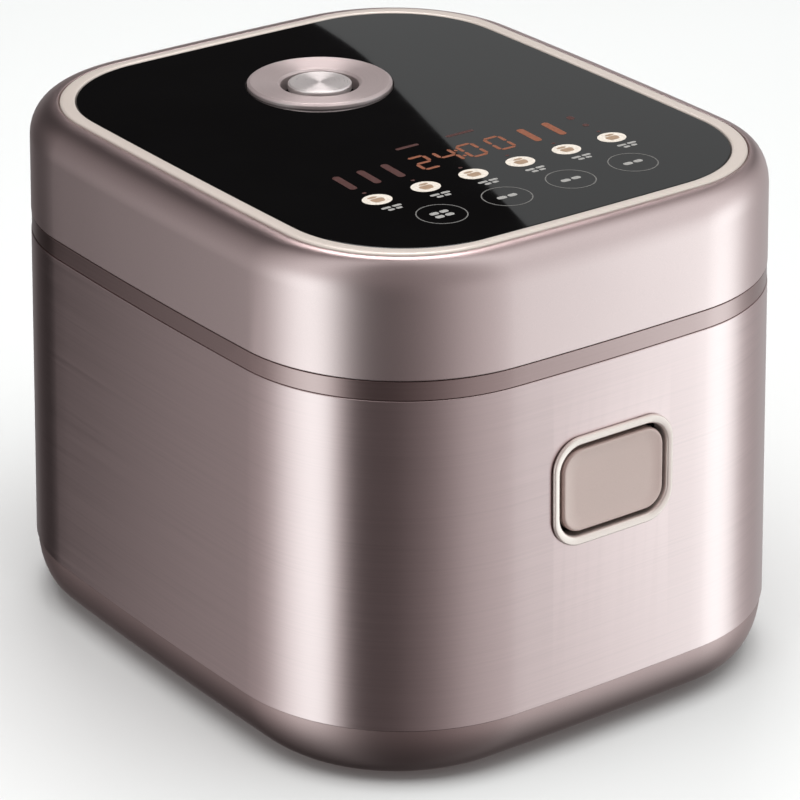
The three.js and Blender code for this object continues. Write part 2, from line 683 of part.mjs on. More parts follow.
place(lid, "lid_shell", lidShell(), satinRose);
place(lid, "rim_trim", rimTrim(), champagne);
place(lid, "glass_panel", glassPanel(), blackGlass);
place(lid, "lid_liner", lidLiner(), whitePlastic);
place(lid, "lid_catch", lidCatch(), steel);
place(lid, "inner_lid_plate", innerLidPlate(), aluminium, [0, POT_Y, 0]);
place(lid, "inner_lid_gasket", innerLidGasket(), silicone, [0, POT_Y, 0]);
place(lid, "inner_lid_clip", box([-9, -99, 176.6], [9, -94, 179.3]), silicone);
place(lid, "steam_seal", tube(10.6, 14, 181.5, 183.1, 24), silicone, [0, VENT_Y, 0]);
place(lid, "display_board", box([-70, -45, 0], [70, 45, 1.6]), circuit, [0, BOARD_Y, BOARD_Z]);
place(lid, "led_display", box([-32, -14, 1.9], [32, 14, 6.9]), blackPlastic, [0, -49, BOARD_Z]);
place(lid, "touch_strip", box([-62, -12, 1.9], [62, 12, 6.9]), rubber, [0, -97.4, BOARD_Z]);
LID_SCREW_PLACES.forEach(([x, y], index) => {
  place(lid, `lid_screw_${index + 1}`, screw(3.2, 1.5, 16), steel, [x, y, 180.8]);
});

// ---- Steam vent, which lifts out of its well ----

const ventRing = () =>
  turned([
    [17, -5.8], [WELL_RADIUS - 2, -5.8], [WELL_RADIUS - 2, -2.8], [VENT_RADIUS, -2.8], [VENT_RADIUS, 1.1],
    [VENT_RADIUS - 1.2, 2], [18, 0.8], [17, 0],
  ]);

function ventCup() {
  const floor = -38.2;
  const wall = turned([
    [4, floor], [WELL_RADIUS - 0.5, floor], [WELL_RADIUS - 0.5, -6.2], [WELL_RADIUS - 2, -6.2],
    [WELL_RADIUS - 2, floor + 2], [4, floor + 2],
  ]);
  const bridge = [0, 60, 120].map((degrees) =>
    box([-WELL_RADIUS + 1, -1.5, -15.2], [WELL_RADIUS - 1, 1.5, -12.2]).rotate([0, 0, degrees]),
  );
  return join(wall, ...bridge);
}

const ventDisc = () =>
  turned([
    [0, -11.9], [3.4, -11.9], [3.4, -2.6], [DISC_RADIUS - 0.8, -2.6], [DISC_RADIUS, -1.8],
    [DISC_RADIUS, 0.5], [DISC_RADIUS - 0.8, 1.2], [0, 1.2],
  ], 24);

const ventFloat = () =>
  turned([
    [0, -40.4], [3.2, -40.4], [3.2, -35.9], [8, -35.9], [8, -34.2], [5.5, -30.8], [0, -29.8],
  ], 24);

place(vent, "vent_ring", ventRing(), champagne);
place(vent, "vent_cup", ventCup(), blackPlastic);
place(vent, "vent_disc", ventDisc(), champagne);
place(vent, "vent_float", ventFloat(), silicone);

// The frame's origin is the middle of the whole cooker's footprint, hinge included.
const frontReach = -frontAt(SHELL_BOTTOM);
const rearReach = HINGE_Y + EAR_RADIUS;
cooker.position.y = (frontReach - rearReach) / 2;

export default cooker;
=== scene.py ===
"""The looks of an induction rice cooker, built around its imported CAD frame.

Lengths are in millimetres until a mesh is made, and each mesh is made in metres, in the row frame.
Azimuths turn from the front (-Y) towards the right (+X), in degrees.
"""

from math import acos, atan, atan2, copysign, cos, hypot, pi, radians, sin, sqrt, tan

import bmesh
import bpy
import numpy as np
from mathutils import Matrix, Vector


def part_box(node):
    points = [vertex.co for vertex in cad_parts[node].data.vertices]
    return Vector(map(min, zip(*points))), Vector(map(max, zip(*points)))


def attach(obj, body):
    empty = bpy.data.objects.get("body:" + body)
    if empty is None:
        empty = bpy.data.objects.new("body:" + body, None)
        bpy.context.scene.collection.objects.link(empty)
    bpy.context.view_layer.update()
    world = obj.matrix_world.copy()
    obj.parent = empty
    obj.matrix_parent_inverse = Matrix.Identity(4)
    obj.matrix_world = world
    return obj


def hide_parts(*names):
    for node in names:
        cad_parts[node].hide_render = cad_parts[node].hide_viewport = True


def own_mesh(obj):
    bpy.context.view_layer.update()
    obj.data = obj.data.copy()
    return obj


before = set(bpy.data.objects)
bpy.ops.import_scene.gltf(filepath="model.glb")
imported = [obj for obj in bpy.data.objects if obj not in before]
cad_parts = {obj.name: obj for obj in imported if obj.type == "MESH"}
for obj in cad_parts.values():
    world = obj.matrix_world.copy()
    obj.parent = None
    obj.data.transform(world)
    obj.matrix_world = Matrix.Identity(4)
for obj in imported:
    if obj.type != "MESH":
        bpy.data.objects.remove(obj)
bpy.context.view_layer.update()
MM = 0.001


# ---------------------------------------------------------------- places taken from the frame

def low(node):
    return np.array(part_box(node)[0]) / MM


def high(node):
    return np.array(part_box(node)[1]) / MM


def middle(node):
    return (low(node) + high(node)) / 2


def span(node):
    return high(node) - low(node)


def extent(node, axis):
    return low(node)[axis], high(node)[axis]


BODY_Y = middle("outer_shell")[1]  # the body's own middle, a little forward of the frame's origin
LID_BOTTOM = low("lid_shell")[2]
FLARE = 3.6 / 152.5  # how much each side of the body moves out for each millimetre down


def plan(width, depth, corner, bow):
    return np.array([width, depth, corner, bow], float)


def inset(of, by):
    return of - np.array([2 * by, 2 * by, by, 0])


OUTLINE = plan(250, 296.8, 77.6, 4.65)  # the body's plan where the lid meets it


def plan_at(z, by=0.0):
    """The flared body's plan at a height, moved inwards by a distance."""
    return inset(OUTLINE, by - FLARE * (LID_BOTTOM - z))


def front_at(z):
    return BODY_Y - plan_at(z)[1] / 2


def back_at(z):
    return BODY_Y + plan_at(z)[1] / 2


TRIM = plan(span("rim_trim")[0], span("rim_trim")[1], 56, 1.9)
GLASS = plan(span("glass_panel")[0], span("glass_panel")[1], 53, 1.7)
LEDGE = plan(193, 238, 52, 1.5)
ROOF = plan(225, 268, 68, 1.9)
PAN_FLOOR = plan(223, 266, 53, 2)
PANEL_Y = middle("glass_panel")[1]
POT_Y = middle("inner_pot")[1]
VENT_Y = middle("vent_ring")[1]
VENT = (0, VENT_Y)
HINGE_Y = middle("hinge_pin")[1]
HINGE_Z = middle("hinge_pin")[2]
DECK_TOP = 180.2
GLASS_TOP = high("glass_panel")[2]
BUTTON_Z = middle("release_button")[2]
POT_FLAT, POT_BEND = 58, 40  # the radius of the pot's flat bottom, and of the bend round it
INLET_Z = middle("power_inlet")[2]
FAN_Y = middle("fan_frame")[1]
LATCH_Y = middle("latch_pin")[1]
LATCH_Z = middle("latch_pin")[2]
KNUCKLE_HALF = 38

# Rows on the glass, in the body's own plan.
DISPLAY_Y = -49.3
ICON_Y = -71.6
ICON_PITCH = 24
KEY_Y = -99.3
KEY_PITCH = 32.4

# Where the photographer stood: degrees, millimetres, and the lens for a 36 mm frame.
CAMERA = {"azimuth": -36.18, "elevation": 24.4, "distance": 1658.2, "across": 2.91, "raise": 90.87, "lens": 167.5}


# ---------------------------------------------------------------- outlines and profiles

def on_circle(centre, radius, angles):
    return np.column_stack([centre[0] + radius * np.cos(angles), centre[1] + radius * np.sin(angles)])


def arc(centre, radius, start, end, steps):
    """Points along an arc, in radians, without its last point."""
    return on_circle(centre, radius, start + (end - start) * np.arange(steps) / steps)


def outline(shape, centre_y=None):
    """A rounded rectangle with bowed sides, as points anticlockwise from +X."""
    width, depth, corner, bow = shape
    a, b = width / 2, depth / 2
    side, end = (b * b + bow * bow) / (2 * bow), (a * a + bow * bow) / (2 * bow)  # the bowed sides' radii
    x, y = a - corner, b - corner
    for _ in range(80):  # settles the corner's middle so that its arc meets both sides smoothly
        side_error = hypot(x - (a - side), y) - (side - corner)
        end_error = hypot(x, y - (b - end)) - (end - corner)
        x -= side_error
        y -= end_error
    side_end = atan2(y, x - (a - side))
    corner_end = atan2(y - (b - end), x)
    quarter = np.vstack([
        arc((a - side, 0), side, 0, side_end, 8),
        arc((x, y), corner, side_end, corner_end, 24),
        arc((0, b - end), end, corner_end, pi / 2, 8),
        [[0, b]],
    ])
    half = np.vstack([quarter, quarter[-2:0:-1] * [-1, 1], [[-a, 0]]])
    ring = np.vstack([half, half[-2:0:-1] * [1, -1]])
    return ring + [0, BODY_Y if centre_y is None else centre_y]


def circle(radius, centre=(0, 0), count=96):
    return on_circle(centre, radius, 2 * pi * np.arange(count) / count)


def circle_facing(ring, radius, centre):
    """A circle with one point for each point of a ring, each at the same bearing from its own middle."""
    about = ring - ring.mean(axis=0)
    return on_circle(centre, radius, np.arctan2(about[:, 1], about[:, 0]))


def section(inner, outer, bottom, top):
    """The profile of a plain ring, or of a disc when inner is 0."""
    return [(inner, bottom), (outer, bottom), (outer, top), (inner, top)]


def rounded(points, radius, closed=True, steps=5):
    """A polyline with its corners rounded. A point may hold its own radius as a third value."""
    count = len(points)
    result = []
    for i, point in enumerate(points):
        here = np.array(point[:2], float)
        if not closed and i in (0, count - 1):
            result.append(here)
            continue
        before = np.array(points[i - 1][:2], float) - here
        after = np.array(points[(i + 1) % count][:2], float) - here
        lengths = np.linalg.norm(before), np.linalg.norm(after)
        before, after = before / lengths[0], after / lengths[1]
        turn = acos(np.clip(before @ after, -1, 1))
        wanted = point[2] if len(point) > 2 else radius
        if wanted <= 0 or turn > pi - 0.02:
            result.append(here)
            continue
        reach = min(wanted / tan(turn / 2), 0.45 * min(lengths))
        size = reach * tan(turn / 2)
        bisector = (before + after) / np.linalg.norm(before + after)
        centre = here + bisector * size / sin(turn / 2)
        first, last = here + before * reach - centre, here + after * reach - centre
        for step in range(steps + 1):
            share = step / steps
            mixed = first * sin((1 - share) * (pi - turn)) + last * sin(share * (pi - turn))
            result.append(centre + mixed / sin(pi - turn))
    return result


# ---------------------------------------------------------------- mesh pieces

def piece(name, vertices, faces, sharp=38):
    """A smooth-shaded mesh object, from vertices in millimetres."""
    mesh = bpy.data.meshes.new(name)
    mesh.from_pydata([tuple(v) for v in np.asarray(vertices, float) * MM], [], faces)
    shaped = bmesh.new()
    shaped.from_mesh(mesh)
    bmesh.ops.remove_doubles(shaped, verts=shaped.verts, dist=1e-7)
    bmesh.ops.recalc_face_normals(shaped, faces=shaped.faces)
    shaped.to_mesh(mesh)
    shaped.free()
    thing = bpy.data.objects.new(name, mesh)
    bpy.context.scene.collection.objects.link(thing)
    smooth(thing, sharp)
    return thing


def smooth(thing, sharp=38):
    thing.data.shade_smooth()
    thing.data.set_sharp_from_angle(angle=radians(sharp))
    if "even shading" not in thing.modifiers:
        even = thing.modifiers.new("even shading", "WEIGHTED_NORMAL")
        even.keep_sharp = True


def skin(levels, count):
    """The four-sided faces round a stack of rings."""
    return [(level * count + i, level * count + j, (level + 1) * count + j, (level + 1) * count + i)
            for level in range(levels - 1) for i, j in zip(range(count), [*range(1, count), 0])]


def caps(levels, count):
    return [tuple(range(count)), tuple(range((levels - 1) * count, levels * count))]


def stack(rings):
    """Vertices and faces through (ring, z) pairs that all have as many points."""
    count = len(rings[0][0])
    vertices = np.vstack([np.column_stack([ring, np.full(count, z)]) for ring, z in rings])
    return vertices, skin(len(rings), count)


def loop_of(name, rings):
    """A ring-shaped solid: the last of the (ring, z) pairs joins the first again."""
    return piece(name, *stack([*rings, rings[0]]))


def block_of(name, rings, sharp=38):
    """A solid through (ring, z) pairs, with a flat face at each end."""
    vertices, faces = stack(rings)
    return piece(name, vertices, faces + caps(len(rings), len(rings[0][0])), sharp)


def turned(name, profile, centre=(0, 0), radius=0.4, count=96, steps=4):
    """A solid of revolution from (radius, z) points, closed or with both ends on the axis."""
    on_axis = profile[0][0] == 0
    path = rounded(profile, radius, not on_axis, steps)
    rings = [(circle(max(r, 1e-4), centre, count), z) for r, z in path]
    return piece(name, *stack(rings if on_axis else rings + [rings[0]]))


def standing(thing, y=0):
    """Turns a piece made in plan so that it stands in the XZ plane, its top towards the front, at y."""
    turn = Matrix(((1, 0, 0, 0), (0, 0, -1, y * MM), (0, 1, 0, 0), (0, 0, 0, 1)))
    thing.data.transform(turn)
    return thing


def bar(name, corner, opposite, radius=0.6, steps=3):
    """A box with rounded upright edges and softened rims."""
    x0, y0, z0 = corner
    x1, y1, z1 = opposite
    limit = 0.49 * min(x1 - x0, y1 - y0, z1 - z0)
    radius = min(radius, limit)
    rim = min(radius * 0.5, limit)

    def ring(shrink):
        points = [(x0 + shrink, y0 + shrink), (x1 - shrink, y0 + shrink),
                  (x1 - shrink, y1 - shrink), (x0 + shrink, y1 - shrink)]
        return np.array(rounded(points, max(radius - shrink, 0.02), True, steps))

    step = rim * 0.3
    levels = [(rim, z0), (step, z0 + step), (0, z0 + rim), (0, z1 - rim), (step, z1 - step), (rim, z1)]
    return block_of(name, [(ring(shrink), z) for shrink, z in levels])


def wire(name, points, thickness, sides=10):
    """A round wire along points, in millimetres, closed at both ends."""
    points = np.asarray(points, float)
    along = np.gradient(points, axis=0)
    along /= np.linalg.norm(along, axis=1)[:, None]
    helper = np.cross(along[0], [0.31, 0.52, 0.79])
    rings = []
    for point, direction in zip(points, along):
        helper = helper - direction * (helper @ direction)
        helper /= np.linalg.norm(helper)
        other = np.cross(direction, helper)
        angles = 2 * pi * np.arange(sides) / sides
        rings.append(point + thickness / 2 * (np.cos(angles)[:, None] * helper + np.sin(angles)[:, None] * other))
    return piece(name, np.vstack(rings), skin(len(rings), sides) + caps(len(rings), sides), 60)


def combine(thing, other, operation):
    """Joins or cuts one piece with another, which is used up."""
    thing.modifiers.clear()
    boolean = thing.modifiers.new("boolean", "BOOLEAN")
    boolean.operation = operation
    boolean.solver = "EXACT"
    boolean.object = other
    graph = bpy.context.evaluated_depsgraph_get()
    mesh = bpy.data.meshes.new_from_object(thing.evaluated_get(graph))
    thing.modifiers.clear()
    thing.data = mesh
    bpy.data.objects.remove(other)
    smooth(thing)


def cut(thing, *tools):
    for tool in tools:
        combine(thing, tool, "DIFFERENCE")
    return thing


def join(thing, *others):
    for other in others:
        combine(thing, other, "UNION")
    return thing


def group(name, things):
    """Several separate pieces as one object."""
    shaped = bmesh.new()
    for thing in things:
        shaped.from_mesh(thing.data)
    mesh = bpy.data.meshes.new(name)
    shaped.to_mesh(mesh)
    shaped.free()
    for thing in things:
        bpy.data.objects.remove(thing)
    joined = bpy.data.objects.new(name, mesh)
    bpy.context.scene.collection.objects.link(joined)
    smooth(joined)
    return joined


def dress(thing, body, surface, *nodes):
    """Gives a piece its body, its material and the CAD nodes that it stands for."""
    thing.data.materials.clear()
    thing.data.materials.append(surface.material)
    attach(thing, body)
    if nodes:
        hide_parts(*nodes)


# ---------------------------------------------------------------- materials

class Nodes:
    """Makes and links the nodes of one tree. An input may be a socket, a number or a tuple."""

    def __init__(self, tree):
        self.tree = tree

    def node(self, kind, **settings):
        made = self.tree.nodes.new("ShaderNode" + kind)
        for key, value in settings.items():
            setattr(made, key, value)
        return made

    def feed(self, socket, value):
        if isinstance(value, bpy.types.NodeSocket):
            self.tree.links.new(value, socket)
        else:
            socket.default_value = value

    def operate(self, kind, operation, *inputs):
        """A Math or VectorMath node."""
        made = self.node(kind, operation=operation)
        for socket, value in zip(made.inputs, inputs):
            self.feed(socket, value)
        return made.outputs[0]

    def colours(self, value, *stops):
        """A colour ramp through (place, colour) stops."""
        ramp = self.node("ValToRGB")
        elements = ramp.color_ramp.elements
        while len(elements) < len(stops):
            elements.new(0.5)
        for element, (place, colour) in zip(elements, stops):
            element.position = place
            element.color = (*colour, 1)
        self.feed(ramp.inputs[0], value)
        return ramp.outputs[0]

    def mixed(self, share, first, second, blend="MIX"):
        """Two colours mixed by a share."""
        mix = self.node("Mix", data_type="RGBA", blend_type=blend)
        for index, value in ((0, share), (6, first), (7, second)):
            self.feed(mix.inputs[index], (*value, 1) if isinstance(value, tuple) else value)
        return mix.outputs[2]


class Surface(Nodes):
    """A Principled material whose colour, roughness and bump come from nodes in the piece's own space."""

    def __init__(self, name, slot=None, **sockets):
        self.material = bpy.data.materials.new(name)
        self.material.use_nodes = True
        self.slot = slot or name
        super().__init__(self.material.node_tree)
        self.shader = self.tree.nodes["Principled BSDF"]
        for socket, value in sockets.items():
            self.shader.inputs[socket.replace("_", " ").title().replace("Ior", "IOR")].default_value = value

    def space(self, scale=1):
        """Object coordinates in metres, times a scale."""
        place = self.node("TexCoord").outputs["Object"]
        return self.operate("VectorMath", "MULTIPLY", place, scale if isinstance(scale, tuple) else (scale,) * 3)

    def polar(self, centre, radial, around):
        """Coordinates (radius x radial, angle x around, 0) about an upright axis, for turned grain."""
        place = self.node("TexCoord").outputs["Object"]
        moved = self.operate("VectorMath", "SUBTRACT", place, (centre[0] * MM, centre[1] * MM, 0))
        split = self.node("SeparateXYZ")
        self.feed(split.inputs[0], moved)
        flat = self.node("CombineXYZ")
        self.feed(flat.inputs[0], split.outputs[0])
        self.feed(flat.inputs[1], split.outputs[1])
        distance = self.node("VectorMath", operation="LENGTH")
        self.feed(distance.inputs[0], flat.outputs[0])
        angle = self.operate("Math", "ARCTAN2", split.outputs[1], split.outputs[0])
        combined = self.node("CombineXYZ")
        self.feed(combined.inputs[0], self.operate("Math", "MULTIPLY", distance.outputs["Value"], radial))
        self.feed(combined.inputs[1], self.operate("Math", "MULTIPLY", angle, around))
        return combined.outputs[0]

    def noise(self, place, detail, roughness=0.5):
        """Noise in a place's own space, or in the piece's space times a scale."""
        made = self.node("TexNoise")
        made.inputs["Scale"].default_value = 1
        made.inputs["Detail"].default_value = detail
        made.inputs["Roughness"].default_value = roughness
        self.feed(made.inputs["Vector"], place if isinstance(place, bpy.types.NodeSocket) else self.space(place))
        return made.outputs["Fac"]

    def cells(self, scale, **settings):
        made = self.node("TexVoronoi", **settings)
        made.inputs["Scale"].default_value = scale
        self.feed(made.inputs["Vector"], self.space())
        return made.outputs["Distance"]

    def spread(self, value, out_low, out_high, in_low=0.3, in_high=0.7):
        made = self.node("MapRange")
        for index, number in enumerate((value, in_low, in_high, out_low, out_high)):
            self.feed(made.inputs[index], number)
        return made.outputs["Result"]

    def bump(self, height, distance, strength, after=None):
        """Bump of a height in millimetres, on top of another one."""
        made = self.node("Bump")
        made.inputs["Distance"].default_value = distance * MM
        made.inputs["Strength"].default_value = strength
        self.feed(made.inputs["Height"], height)
        if after is not None:
            self.feed(made.inputs["Normal"], after)
        return made.outputs[0]

    def lighter_sharp_edges(self, base, edge_colour, amount=0.35):
        """A lighter colour where the surface bends sharply outwards."""
        bend = self.node("NewGeometry").outputs["Pointiness"]
        return self.mixed(self.spread(bend, 0, amount, 0.52, 0.6), base, edge_colour)

    def around_axis(self):
        """Spreads the anisotropic highlight across grain that runs round the piece's upright axis."""
        self.feed(self.shader.inputs["Tangent"], self.node("Tangent", direction_type="RADIAL", axis="Z").outputs[0])
        self.shader.inputs["Anisotropic Rotation"].default_value = 0.25

    def finish(self, colour, roughness, normal=None):
        self.feed(self.shader.inputs["Base Color"], colour)
        self.feed(self.shader.inputs["Roughness"], roughness)
        if normal is not None:
            self.feed(self.shader.inputs["Normal"], normal)
        return self


def shade(colour, factor):
    return tuple(min(1.0, part * factor) for part in colour)


def brushed_metal(name, colour, rough, aniso=0.75, grain=0.004):
    """Sheet metal brushed in level strokes."""
    surface = Surface(name, metallic=1.0, anisotropic=aniso)
    surface.around_axis()
    fine = surface.noise((22, 22, 5200), 3, 0.65)
    strokes = surface.noise((9, 9, 900), 4, 0.7)
    patches = surface.noise((7, 7, 14), 2)
    tone = surface.colours(strokes, (0.25, shade(colour, 0.9)), (0.5, colour), (0.78, shade(colour, 1.08)))
    tone = surface.mixed(surface.spread(fine, 0, 0.5), tone, shade(colour, 1.08))
    tone = surface.mixed(surface.spread(patches, 0, 0.12), tone, shade(colour, 0.85))
    normal = surface.bump(fine, grain, 0.6, surface.bump(strokes, grain, 0.3))
    rough = surface.spread(strokes, rough * 0.92, rough * 1.1)
    return surface.finish(surface.lighter_sharp_edges(tone, shade(colour, 1.35)), rough, normal)


def pearl_metal(name, colour, rough, pearl, cloud, edges=1.25, grain=0.0012, slot=None, **sockets):
    """Satin or lacquered metal: a fine pearl, and broad clouds a little darker. Each is (scale, dark, light)."""
    surface = Surface(name, slot, **sockets)
    spots, broad = surface.noise(pearl[0], 2), surface.noise(cloud[0], 3)
    tone = surface.colours(spots, (0.3, shade(colour, pearl[1])), (0.7, shade(colour, pearl[2])))
    tone = surface.mixed(surface.spread(broad, 0, cloud[2]), tone, shade(colour, cloud[1]))
    rough = surface.spread(broad, rough * 0.93, rough * 1.08)
    return surface.finish(surface.lighter_sharp_edges(tone, shade(colour, edges)), rough, surface.bump(spots, grain, 0.5))


def satin_metal(name, colour, rough, grain=0.0012):
    return pearl_metal(name, colour, rough, (5200, 0.93, 1.06), (9, 0.86, 0.1), 1.25, grain, metallic=1.0)


def lacquered_metal(name, colour, rough, metallic, coat=0.3, slot=None):
    """Metallic lacquer: flakes in a pale binder, so it is bright from every side, under a clear coat."""
    return pearl_metal(name, colour, rough, (6200, 0.94, 1.05), (11, 0.88, 0.08), 1.1, 0.001, slot,
                       metallic=metallic, coat_weight=coat, coat_roughness=0.12)


def turned_metal(name, colour, rough, centre_y, aniso=0.85, metallic=1.0, slot=None):
    """Metal faced on a lathe: fine rings, and a highlight that fans out from the middle."""
    surface = Surface(name, slot, metallic=metallic, anisotropic=aniso)
    surface.around_axis()
    rings = surface.noise(surface.polar((0, centre_y), 4200, 1.2), 4, 0.7)
    broad = surface.noise(surface.polar((0, centre_y), 700, 0.7), 3, 0.6)
    tone = surface.colours(rings, (0.25, shade(colour, 0.86)), (0.55, colour), (0.8, shade(colour, 1.12)))
    tone = surface.mixed(surface.spread(broad, 0, 0.25), tone, shade(colour, 1.1))
    rough = surface.spread(rings, rough * 0.88, rough * 1.15)
    return surface.finish(surface.lighter_sharp_edges(tone, shade(colour, 1.3)), rough, surface.bump(rings, 0.004, 0.45))


def plastic(name, colour, rough, texture=0.01, grain=900):
    """Moulded plastic with a spark-eroded texture and a little tone in it."""
    surface = Surface(name, specular_ior_level=0.5)
    stipple = surface.noise(grain, 2)
    tone = surface.colours(surface.noise(14, 3), (0.3, shade(colour, 0.9)), (0.7, shade(colour, 1.1)))
    rough = surface.spread(stipple, rough * 0.9, rough * 1.12)
    tone = surface.lighter_sharp_edges(tone, shade(colour, 1.5), 0.25)
    return surface.finish(tone, rough, surface.bump(stipple, texture, 0.5))


def soft_rubber(name, colour, rough):
    surface = Surface(name, sheen_weight=0.25, sheen_roughness=0.5, specular_ior_level=0.35)
    dust = surface.noise(60, 5, 0.7)
    tone = surface.colours(dust, (0.35, colour), (0.75, shade(colour, 1.45)))
    rough = surface.spread(dust, rough * 0.85, rough * 1.1)
    return surface.finish(tone, rough, surface.bump(surface.noise(1500, 2), 0.012, 0.4))


def black_glass():
    """Tempered glass printed black from below: a clean gloss skin with the faintest haze."""
    surface = Surface("black_glass", specular_ior_level=0.5, coat_weight=0.2, coat_roughness=0.01)
    haze = surface.noise(16, 4, 0.6)
    tone = surface.colours(haze, (0.3, (0.0006, 0.0006, 0.0007)), (0.8, (0.0013, 0.0013, 0.0014)))
    return surface.finish(tone, surface.spread(haze, 0.012, 0.03))


def printed(name, colour, glow):
    """Print or light that shows through the glass. Every mark also glows by emission: on the display's figures, bars
    and menu lights that is their own LED light, on the print it is a painted glow.
    """
    surface = Surface(name, "champagne", emission_strength=glow)
    tone = surface.colours(surface.noise(1400, 2), (0.3, shade(colour, 0.8)), (0.7, shade(colour, 1.1)))
    surface.feed(surface.shader.inputs["Emission Color"], tone)
    return surface.finish(tone, 0.4)


def circuit_board():
    surface = Surface("circuit", specular_ior_level=0.5, coat_weight=0.3, coat_roughness=0.2)
    tracks = surface.cells(190, feature="DISTANCE_TO_EDGE", distance="MANHATTAN")
    tone = surface.colours(tracks, (0.02, (0.02, 0.16, 0.075)), (0.09, (0.012, 0.07, 0.035)))
    return surface.finish(tone, 0.4, surface.bump(tracks, 0.03, 0.5))


def wound_copper():
    surface = Surface("copper", metallic=1.0, coat_weight=0.4, coat_roughness=0.2)
    strands = surface.noise(900, 4, 0.7)
    tone = surface.colours(strands, (0.3, (0.36, 0.11, 0.04)), (0.7, (0.72, 0.30, 0.14)))
    return surface.finish(tone, surface.spread(strands, 0.25, 0.42), surface.bump(strands, 0.05, 0.6))


def pot_coating():
    """Speckled non-stick coating."""
    surface = Surface("pot_coat", specular_ior_level=0.5)
    tone = surface.colours(surface.cells(1100, feature="F1"), (0.05, (0.22, 0.2, 0.19)), (0.22, (0.03, 0.027, 0.026)))
    skin = surface.noise(1300, 3)
    return surface.finish(tone, surface.spread(skin, 0.34, 0.46), surface.bump(skin, 0.01, 0.5))


brushed_rose = brushed_metal("brushed_rose", (0.62, 0.462, 0.46), 0.31, 0.8)
satin_rose = satin_metal("satin_rose", (0.64, 0.48, 0.476), 0.34)
base_rose = satin_metal("base_rose", (0.42, 0.285, 0.28), 0.4)
band_rose = brushed_metal("band_rose", (0.375, 0.26, 0.255), 0.3, 0.7, 0.002)
champagne = lacquered_metal("champagne", (0.54, 0.465, 0.42), 0.35, 0.25)
# The trim and the bezel are one champagne lacquer in two copies; the bezel's copy is made lighter, which is painted
# light on the bezel.
painted_bright_champagne = lacquered_metal("painted_bright_champagne", (0.71, 0.58, 0.54), 0.3, 0.6, 0.2, "champagne")
satin_champagne = lacquered_metal("satin_champagne", (0.53, 0.385, 0.355), 0.45, 0.55, 0.1)
vent_metal = turned_metal("vent_metal", (0.50, 0.405, 0.40), 0.34, VENT_Y, 0.85, 0.6)
# The ring and the disc are one turned metal in two copies; the disc's copy is made much lighter for its bright look,
# which is painted light on the disc.
painted_bright_vent_metal = turned_metal("painted_bright_vent_metal", (0.78, 0.70, 0.69), 0.3, VENT_Y, 0.85, 0.75, "vent_metal")
glass = black_glass()
black_plastic = plastic("black_plastic", (0.018, 0.017, 0.017), 0.5)
grey_plastic = plastic("grey_plastic", (0.16, 0.16, 0.16), 0.5)
white_plastic = plastic("white_plastic", (0.66, 0.64, 0.60), 0.45)
silicone = soft_rubber("silicone", (0.55, 0.52, 0.48), 0.55)
rubber = soft_rubber("rubber", (0.025, 0.024, 0.024), 0.7)
steel = brushed_metal("steel", (0.56, 0.56, 0.57), 0.32, 0.4, 0.003)
aluminium = satin_metal("aluminium", (0.74, 0.74, 0.75), 0.34, 0.003)
lid_aluminium = turned_metal("lid_aluminium", (0.78, 0.78, 0.79), 0.36, POT_Y, 0.6, slot="aluminium")
pot_coat = pot_coating()
copper = wound_copper()
ferrite = plastic("ferrite", (0.035, 0.035, 0.04), 0.7, 0.03, 500)
circuit = circuit_board()
lit_orange = printed("lit_orange", (0.15, 0.045, 0.02), 0.4)
dim_orange = printed("dim_orange", (0.038, 0.009, 0.007), 0.4)
# The print below glows by emission as well, which is painted light: print gives off no light of its own.
print_white = printed("print_white", (0.56, 0.50, 0.44), 0.1)
print_grey = printed("print_grey", (0.24, 0.23, 0.22), 0.2)
ring_grey = printed("ring_grey", (0.10, 0.095, 0.09), 0.3)
print_tan = printed("print_tan", (0.26, 0.17, 0.11), 0.1)


# ---------------------------------------------------------------- small parts used in several places

def screw(name, place, body, node):
    """A pan-head screw that points up, with a cross recess in its head."""
    (x, y), head_low = place, low(node)[2]
    wide, tall = span(node)[0] / 2, span(node)[2]
    shank, reach = wide * 0.46, wide * 0.62
    thing = turned(name, [
        (0, head_low), (wide, head_low, 0.5), (wide, head_low + 1.3, 0.3), (shank, head_low + 2.4, 0.3),
        (shank, head_low + tall - 1.6, 0.2), (0, head_low + tall),
    ], place, 0.3, 32, 3)
    for a, b in ((reach, 0.35), (0.35, reach)):
        cut(thing, bar("recess", (x - a, y - b, head_low - 1), (x + a, y + b, head_low + 0.8), 0.1, 1))
    dress(thing, body, steel, node)


def coil(name, centre, radius, thickness, start, end, turns, axis="z", closed_ends=True):
    """A helical compression spring from start to end along an axis, its end turns lying flat."""
    steps = int(turns * 28)
    share = np.linspace(0, 1, steps + 1)
    rise = share * share * (3 - 2 * share) * 0.25 + share * 0.75 if closed_ends else share
    angle = 2 * pi * turns * share
    along = start + thickness / 2 + (end - start - thickness) * rise
    first, second = radius * np.cos(angle), radius * np.sin(angle)
    columns = {
        "z": (centre[0] + first, centre[1] + second, along),
        "y": (centre[0] + first, along, centre[1] + second),
        "x": (along, centre[0] + first, centre[1] + second),
    }[axis]
    return wire(name, np.column_stack(columns), thickness)


def lying(thing):
    """Turns a piece made about Z so that its axis runs along X: its z becomes x."""
    turn = Matrix(((0, 0, 1, 0), (1, 0, 0, 0), (0, 1, 0, 0), (0, 0, 0, 1)))
    thing.data.transform(turn)
    return thing


def rod(name, radius, x_from, x_to, y, z, count=48, rim=0.4):
    """A rod along X with softened ends."""
    return lying(turned(name, section(0, radius, x_from, x_to), (y, z), rim, count, 3))


def sideways(name, points, x_from, x_to, radius=0.6, steps=4):
    """A [y, z] outline with rounded corners, from x_from to x_to, its rims softened."""
    flat = np.array(rounded(points, radius, True, steps))
    return lying(block_of(name, [(flat, x_from), (flat, x_to)], 30))


